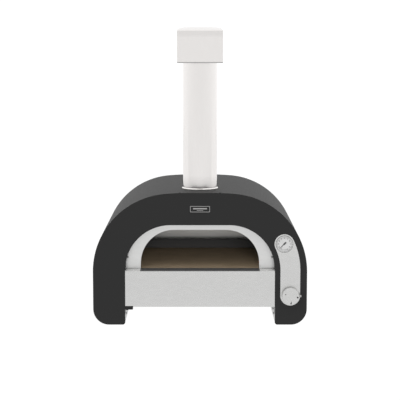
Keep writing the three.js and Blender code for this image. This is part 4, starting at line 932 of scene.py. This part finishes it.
class BracketBuilder(Operator):
    """Corner brackets under the base plate, with the left one's gusset and bolt and the right one's stud"""
    bl_idname = "oven.brackets"
    bl_label = "Brackets"

    def execute(self, context):
        body, sizes, look = settings(context, "body", "brackets")
        for side, name in SIDES.items():
            low, high = corners("corner_bracket_" + name)
            outer, top = side * FIT_HALF, high[2]
            shape = rounded_box(Shape(), (outer, low[1], low[2]), (outer - side * body.sheet, high[1], top),
                                body.edge)
            rounded_box(shape, (outer - side * body.edge, low[1], top - body.sheet),
                        (outer - side * sizes.flange, high[1], top), body.edge)
            piece("bracket_" + name, shape, look["mill"], "satin_steel", "corner_bracket_" + name)
        low, high = corners("corner_bracket_left")
        inner, back = high[0] + sizes.lip_reach, FRONT - FAINT
        lip = filleted(rectangle(-FIT_HALF, sizes.lip_bottom, inner, sizes.lip_top),
                       np.array([0.3, 3, 1, 0.3]) * MM, closed=True)
        shape = plate(Shape(), [rim(lip, back - sizes.lip_sheet, back, SMALL, FINE)], FACING)
        rounded_box(shape, (-FIT_HALF, back - 0.6 * MM, sizes.web_bottom),
                    (inner - 2 * MM, low[1] - 0.3 * MM, sizes.web_top), 0.4 * MM)
        ahead = low[1] - sizes.ahead
        disc(shape, (BOLT[0], ahead, 0), *BOLT[1:], 0.8 * MM, axis="Z", sides=48, hexagon=True)
        piece("gusset", shape, look["blacked"], "dark_steel")
        shape = disc(Shape(), (STUD[0], ahead, 0), *STUD[1:], 0.5 * MM, axis="Z", sides=48)
        piece("bracket_stud", shape, look["blacked"], "dark_steel")
        return {"FINISHED"}


class FlueBuilder(Operator):
    """Spigot, ring, flue pipe, folded cap and the strap that carries it"""
    bl_idname = "oven.flue"
    bl_label = "Flue"

    def execute(self, context):
        body, sizes, look = settings(context, "body", "flue")
        sheet, centre = body.sheet, (FLUE[0], FLUE[1], 0)
        foot, outer = COLLAR_HIGH[0], COLLAR_HIGH[0] - sizes.spigot_foot
        inner, base = outer - sizes.spigot_wall, VAULT_HIGH[2] + sizes.clearance
        low, high = COLLAR_LOW[2], COLLAR_HIGH[2]
        profile = filleted([(inner, low), (outer, low), (outer, base), (foot, base), (foot, base + sheet),
                            (outer, base + sheet), (outer, high), (inner, high)],
                           np.array([0.3, 0.3, 0, 0.6, 0.6, 1.5, 0.4, 0.4]) * MM, closed=True)
        piece("spigot", turned(Shape(), profile, centre, "Z", closed=True), look["liner"], "liner_steel",
              "flue_collar")

        inner, outer = outer + sizes.clearance, RING_HIGH[0]
        low, high, lip = RING_LOW[2], RING_HIGH[2], sizes.ring_lip
        profile = filleted([(inner, low), (outer, low), (outer, low + lip), (inner + lip, high),
                            (inner, high)], np.array([0.3, 0.3, 0.4, 0.8, 0.4]) * MM, closed=True)
        piece("seat_ring", turned(Shape(), profile, centre, "Z", closed=True), look["cap"], "flue_steel",
              "flue_ring")

        outer, low, high = PIPE_HIGH[0], PIPE_LOW[2], PIPE_HIGH[2]
        profile = filleted(rectangle(outer - sizes.wall, low, outer, high), sizes.rim, closed=True)
        shape = turned(Shape(), profile, centre, "Z", sides=144, closed=True)
        half, rise = sizes.seam_width / 2, sizes.seam_height
        rounded_box(shape, (-half, FLUE[1] + outer - rise, low + sizes.rim),
                    (half, FLUE[1] + outer + rise, high - sizes.rim), rise)
        piece("chimney", shape, look["flue"], "flue_steel", "flue_pipe", body="flue")

        self.cap(sizes, body, look)

        low, high = STRAP_LOW, STRAP_HIGH
        middle, level = (low[1] + high[1]) / 2, high[2] - sheet / 2
        reach, lip = high[1] - middle - sheet / 2, high[2] - sizes.strap_lip
        lines = [[(middle - reach, lip), (middle - reach, level),
                  (middle + reach, level), (middle + reach, lip)]]
        ear = PIPE_HIGH[2] + sizes.clearance + sheet / 2
        for side in SIDES:
            leg = middle + sizes.strap_leg * side
            lines += [[(leg, low[2]), (leg, level)], [(leg, ear), (leg + sizes.strap_ear * side, ear)]]
        shape = Shape()
        for line in lines:
            bent(shape, line, sheet, body.bend, (low[0], high[0]), body.trim)
        piece("cap_strap", shape, look["liner"], "liner_steel", "cap_bracket", body="cap")
        return {"FINISHED"}

    def cap(self, sizes, body, look):
        """The hood's crown stands c (1 - |x / a| ** 3) ** (1 / 3) (1 - (y / b) ** 2) over its creases. Each
        crease is a quadratic curve from the wall to the crown's edge, with its middle point on the edge's
        tangent."""
        half_x, half_y = CAP_HIGH[0], CAP_HIGH[1] - FLUE[1] - sizes.hem_proud
        x = half_x * np.sin(np.linspace(-np.pi / 2, np.pi / 2, 41))
        swell = sizes.cap_crown * np.cbrt(1 - np.abs(x / half_x) ** 3)
        bend = sizes.cap_bend
        y = np.linspace(-half_y + bend, half_y - bend, 33)
        top = CAP_HIGH[2] - sizes.cap_crown + swell[None] * (1 - (y[:, None] / half_y) ** 2)
        slope = swell * 2 * (half_y - bend) / half_y ** 2
        pivot = top[0] - slope * bend
        share = np.linspace(0, 1, 6)[:-1, None]
        turn_y = np.broadcast_to(-half_y + share ** 2 * bend, (5, len(x)))
        turn_z = (1 - share) ** 2 * (pivot - bend) + 2 * share * (1 - share) * pivot + share ** 2 * top[0]
        walls_y = np.concatenate([np.full((1, len(x)), -half_y), turn_y])
        walls_z = np.concatenate([np.full((1, len(x)), CAP_LOW[2] + 0.5 * MM), turn_z])
        ys = np.concatenate([walls_y, np.broadcast_to(y[:, None], top.shape), -walls_y[::-1]])
        zs = np.concatenate([walls_z, top, walls_z[::-1]])
        points = np.stack([np.broadcast_to(x, zs.shape), ys + FLUE[1], zs], axis=-1)
        shape = Shape().shell().add(points, grid_faces(*zs.shape))
        piece("cap_hood", shape, look["cap"], "flue_steel", "flue_cap", body="cap", thickness=body.sheet,
              bevel=body.trim, sharp=50)
        shape = Shape()
        for side in SIDES:
            rounded_box(shape, (-half_x, FLUE[1] + side * (half_y + sizes.hem_proud), CAP_LOW[2]),
                        (half_x, FLUE[1] + side * (half_y - body.sheet), CAP_LOW[2] + sizes.hem_height),
                        0.9 * MM)
        piece("cap_hems", shape, look["hem"], "flue_steel", body="cap")


class ControlBuilder(Operator):
    """Control strip, gas knob and thermometer"""
    bl_idname = "oven.controls"
    bl_label = "Controls"

    def execute(self, context):
        sizes, look = settings(context, "controls")
        low, high = corners("control_plate")
        run = NECK[0] - GAUGE[0]
        radius = (run ** 2 + sizes.bend_rise ** 2) / (2 * run)
        sweep = math.degrees(math.asin(sizes.bend_rise / radius))
        centre, start, half = NECK[0] - radius, GAUGE[2] - sizes.bend_rise, sizes.strip_half
        outline = np.concatenate([
            arc(NECK[0], NECK[2] - sizes.foot_drop, half, 180, 360, 40),
            arc(centre, start, radius + half, 0, sweep, 20),
            arc(GAUGE[0], GAUGE[2], half, sweep, sweep + 180, 40)[1:-1],
            arc(centre, start, radius - half, sweep, 0, 20)])
        rims = [rim(outline, low[1], high[1], 0.5 * MM),
                rim(circle(NECK, sizes.neck_radius), low[1], high[1], hole=True),
                rim(circle(GAUGE, sizes.ring_radius), low[1], high[1], FINE, hole=True)]
        piece("control_strip", plate(Shape(), rims, FACING), look["satin"], "satin_steel", "control_plate")
        self.knob(sizes, look)
        self.thermometer(sizes, look)
        self.needle(sizes, look)
        return {"FINISHED"}

    def knob(self, sizes, look):
        """A turned knob, its pointer turned upwards by the lug angle, and its printed marks."""
        radius, face, centre = sizes.knob_radius, KNOB_LOW[1], (NECK[0], 0, NECK[2])
        shape = disc(Shape(), centre, radius, face, KNOB_HIGH[1], sizes.knob_edge, sizes.knob_back, steps=6)
        piece("knob", shape, look["satin"], "satin_steel", "gas_knob", body="knob")
        tip, half = KNOB_HIGH[0] - NECK[0] - sizes.lug_trim, sizes.lug_width / 2
        front = face + sizes.knob_edge
        shape = rounded_box(Shape(), (radius - sizes.lug_root, front, -half),
                            (tip, front + sizes.lug_depth, half), sizes.knob_edge)
        cos, sin = math.cos(sizes.lug_angle), math.sin(sizes.lug_angle)
        x, y, z = shape.points[-1].T
        shape.points[-1] = np.stack([x * cos - z * sin, y, x * sin + z * cos], axis=1) + centre
        piece("knob_pointer", shape, look["hem"], "satin_steel", body="knob")
        marks, faces = Shape(), face + KNOB_PRINT
        for share, degrees, size in KNOB_DOTS:
            disc(marks, around(NECK, radius * share, math.radians(degrees)), size * MM, *faces, sides=32)
        flame = filleted(FLAME, 0.8 * MM, closed=True, steps=3)
        flame = flame + np.array(around(NECK, *FLAME_PLACE))[[0, 2]]
        plate(marks, [rim(flame, *faces)], FACING)
        piece("knob_marks", marks, look["ink"], "needle_black", body="knob")

    def thermometer(self, sizes, look):
        """Bezel, glass and dial round one axis, and the dial's ring of dots with an arc below."""
        centre, outer = (GAUGE[0], 0, GAUGE[2]), sizes.bezel_radius
        profile = filleted(rectangle(outer - sizes.bezel_lip, BEZEL_LOW[1] + sizes.bezel_set,
                                     outer, BEZEL_HIGH[1] + sizes.bezel_set),
                           np.array([0.5, 0.8, 0.3, 0.3]) * MM, closed=True)
        piece("dial_bezel", turned(Shape(), profile, centre, "Y", sides=120, closed=True), look["satin"],
              "satin_steel", "gauge_bezel")
        radius = GLASS_HIGH[0] - GAUGE[0]
        shape = disc(Shape(), centre, radius, GLASS_LOW[1], GLASS_HIGH[1], SMALL, SMALL)
        piece("dial_glass", shape, look["glass"], "clear_glass", "gauge_glass")
        piece("dial", disc(Shape(), centre, radius, DIAL_LOW[1], DIAL_HIGH[1]), look["dial"], "dial_face",
              "gauge_dial")
        marks, faces, radius = Shape(), DIAL_LOW[1] + DIAL_PRINT, sizes.tick_radius
        for turn in np.radians(np.linspace(*TICK_ENDS, sizes.ticks)):
            disc(marks, around(GAUGE, radius, turn), sizes.tick_size, *faces, sides=20)
        loop = np.concatenate([arc(GAUGE[0], GAUGE[2], radius, *ARC_ENDS, 16),
                               arc(GAUGE[0], GAUGE[2], radius - 0.6 * MM, *ARC_ENDS[::-1], 16)])
        plate(marks, [rim(loop, *faces)], FACING)
        piece("dial_marks", marks, look["ink"], "needle_black")

    def needle(self, sizes, look):
        """The outline o turned to its rest angle, o_x d + o_y n, with its hub and its pin."""
        low, high = corners("gauge_needle")
        near, far, centre = low[1], low[1] + NEEDLE_SHEET, (GAUGE[0], 0, GAUGE[2])
        along = np.array([math.cos(sizes.rest_angle), math.sin(sizes.rest_angle)])
        side = np.array([-along[1], along[0]])
        outline = np.concatenate([NEEDLE, (NEEDLE * (1, -1))[::-1]])
        outline = GAUGE[[0, 2]] + outline[:, :1] * along + outline[:, 1:] * side
        shape = plate(Shape(), [rim(outline, near, far, FAINT)], FACING)
        disc(shape, centre, HUB, near - FAINT, far, FINE, sides=40)
        disc(shape, centre, PIN, near, high[1], sides=24)
        piece("needle", shape, look["ink"], "needle_black", "gauge_needle", body="needle")


class FastenerBuilder(Operator):
    """Screws of the mouth plate, rear panel and corner brackets"""
    bl_idname = "oven.fasteners"
    bl_label = "Fasteners"

    def execute(self, context):
        look, = settings(context)
        places = [(f"rear_screw_{index}", 1) for index in range(1, 7)]
        places += [("mouth_screw_left", -1), ("mouth_screw_right", -1),
                   ("corner_screw_left", 1), ("corner_screw_right", -1)]
        for node, way in places:
            finish, axis, (out, back, up) = SCREWS[node.split("_")[0]]
            low, high = corners(node)
            centre, along = (low + high) / 2, "XYZ".index(axis)
            centre[along] = high[along] - HEAD_DEPTH if way > 0 else low[along] + HEAD_DEPTH
            centre += np.array((np.sign(centre[0]) * out, back, up)) * MM
            shape = turned(Shape(), HEAD * MM * (1, way), centre, axis, sides=48, hexagon=SOCKET)
            piece(node.replace("screw", "bolt"), shape, look[finish], "dark_steel", node)
        return {"FINISHED"}


class CarriedFinisher(Operator):
    """Finishes of the pieces that stay as constructed"""
    bl_idname = "oven.carried"
    bl_label = "Constructed pieces"

    def execute(self, context):
        look, = settings(context)
        for finish, nodes in CARRIED.items():
            for node in nodes:
                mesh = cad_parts[node].data
                mesh.materials.clear()
                mesh.materials.append(look[finish])
        return {"FINISHED"}


def glow(tree, seen, mirrored):
    """The strength seen by the camera where a ray comes from it, and the mirrored one elsewhere."""
    rays = add(tree, "ShaderNodeLightPath").outputs["Is Camera Ray"]
    return add(tree, "ShaderNodeMix", values={3: seen}, links={0: rays, 2: mirrored}).outputs[0]


def light_table():
    """A lit white sheet: even white where it is seen, and where it is mirrored a little dimmer, with a small
    step up close to the oven."""
    material, tree, shader, place = blank("light table", {
        "Base Color": (0.05, 0.05, 0.05, 1), "Roughness": 0.9, "Specular IOR Level": 0,
        "Emission Color": (1, 1, 1, 1)})
    depth = add(tree, "ShaderNodeSeparateXYZ", links={"Vector": place}).outputs["Y"]
    ahead = add(tree, "ShaderNodeMapRange", links={"Value": depth},
                values={"From Min": -5.0, "From Max": -1.2, "To Min": 0.84, "To Max": 0.79})
    beside = add(tree, "ShaderNodeMapRange", links={"Value": depth},
                 values={"From Min": -0.9, "From Max": -0.3, "To Min": 0.0, "To Max": 0.1})
    both = add(tree, "ShaderNodeMath", {"operation": "ADD"},
               links={0: ahead.outputs["Result"], 1: beside.outputs["Result"]})
    tree.links.new(glow(tree, 1.0, both.outputs["Value"]), shader.inputs["Emission Strength"])
    return material


class StageBuilder(Operator):
    """Pale floor, white surroundings, soft lights and the camera"""
    bl_idname = "oven.stage"
    bl_label = "Stage"

    def execute(self, context):
        scene = context.scene
        mesh = bpy.data.meshes.new("floor")
        square = rectangle(-FLOOR_HALF, -FLOOR_HALF, FLOOR_HALF, FLOOR_HALF)
        mesh.from_pydata([(x, y, 0) for x, y in square], [], [(0, 1, 2, 3)])
        mesh.materials.append(light_table())
        floor = bpy.data.objects.new("floor", mesh)
        scene.collection.objects.link(floor)

        world = bpy.data.worlds.new("white room")
        world.use_nodes = True
        tree = world.node_tree
        tree.nodes.clear()
        way = add(tree, "ShaderNodeTexCoord").outputs["Generated"]
        way = add(tree, "ShaderNodeSeparateXYZ", links={"Vector": way}).outputs
        # In front the room brightens with height, and behind it is even
        top = add(tree, "ShaderNodeMapRange", values={"To Min": 0.86, "To Max": 1.15},
                  links={"Value": way["Z"]})
        room = add(tree, "ShaderNodeMapRange", values={"From Min": -1.0, "To Max": 1.04},
                   links={"Value": way["Y"], "To Min": top.outputs["Result"]})
        back = add(tree, "ShaderNodeBackground", values={"Color": (1, 1, 1, 1)},
                   links={"Strength": glow(tree, 1.1, room.outputs["Result"])})
        add(tree, "ShaderNodeOutputWorld", links={"Surface": back.outputs["Background"]})
        scene.world = world
        scene.view_settings.view_transform = "Standard"

        for name, place, size, power in LAMPS:
            light = bpy.data.lights.new(name, "AREA")
            light.shape, light.size, light.energy = "DISK", size, power
            lamp = bpy.data.objects.new(name, light)
            lamp.location = place
            x, y, z = np.array(LIT_POINT) - place
            lamp.rotation_euler = (math.atan2(math.hypot(x, y), -z), 0, math.atan2(-x, y))
            lamp.visible_glossy = False
            scene.collection.objects.link(lamp)

        lens = bpy.data.cameras.new("camera")
        lens.lens, lens.sensor_width = LENS, SENSOR
        camera = bpy.data.objects.new("camera", lens)
        camera.location = CAMERA_PLACE
        camera.rotation_euler = (math.radians(90 - CAMERA_TILT), 0, 0)
        scene.collection.objects.link(camera)
        scene.camera = camera
        return {"FINISHED"}


BUILDERS = (BodyBuilder, HearthBuilder, BracketBuilder, FlueBuilder, ControlBuilder, FastenerBuilder,
            CarriedFinisher, StageBuilder)
GROUPS = {"oven_body": BodySizes, "oven_hearth": HearthSizes, "oven_brackets": BracketSizes,
          "oven_flue": FlueSizes, "oven_controls": ControlSizes, "oven_look": Finishes}


class OvenPanel(Panel):
    """Buttons for each group of pieces, and their sizes"""
    bl_idname = "VIEW3D_PT_oven"
    bl_label = "Portable Pizza Oven"
    bl_space_type = "VIEW_3D"
    bl_region_type = "UI"
    bl_category = "Oven"

    def draw(self, context):
        for builder in BUILDERS:
            self.layout.operator(builder.bl_idname)
        for name, group in GROUPS.items():
            box = self.layout.box()
            for entry in group.__annotations__:
                box.prop(getattr(context.scene, name), entry)


def register():
    for entry in (*GROUPS.values(), *BUILDERS, OvenPanel):
        bpy.utils.register_class(entry)
    for name, group in GROUPS.items():
        setattr(bpy.types.Scene, name, PointerProperty(type=group))


def unregister():
    for name in GROUPS:
        delattr(bpy.types.Scene, name)
    for entry in (OvenPanel, *reversed(BUILDERS), *GROUPS.values()):
        bpy.utils.unregister_class(entry)


def main():
    register()
    bpy.ops.oven.body()
    bpy.ops.oven.hearth()
    bpy.ops.oven.brackets()
    bpy.ops.oven.flue()
    bpy.ops.oven.controls()
    bpy.ops.oven.fasteners()
    bpy.ops.oven.carried()
    bpy.ops.oven.stage()


if __name__ == "__main__":
    main()
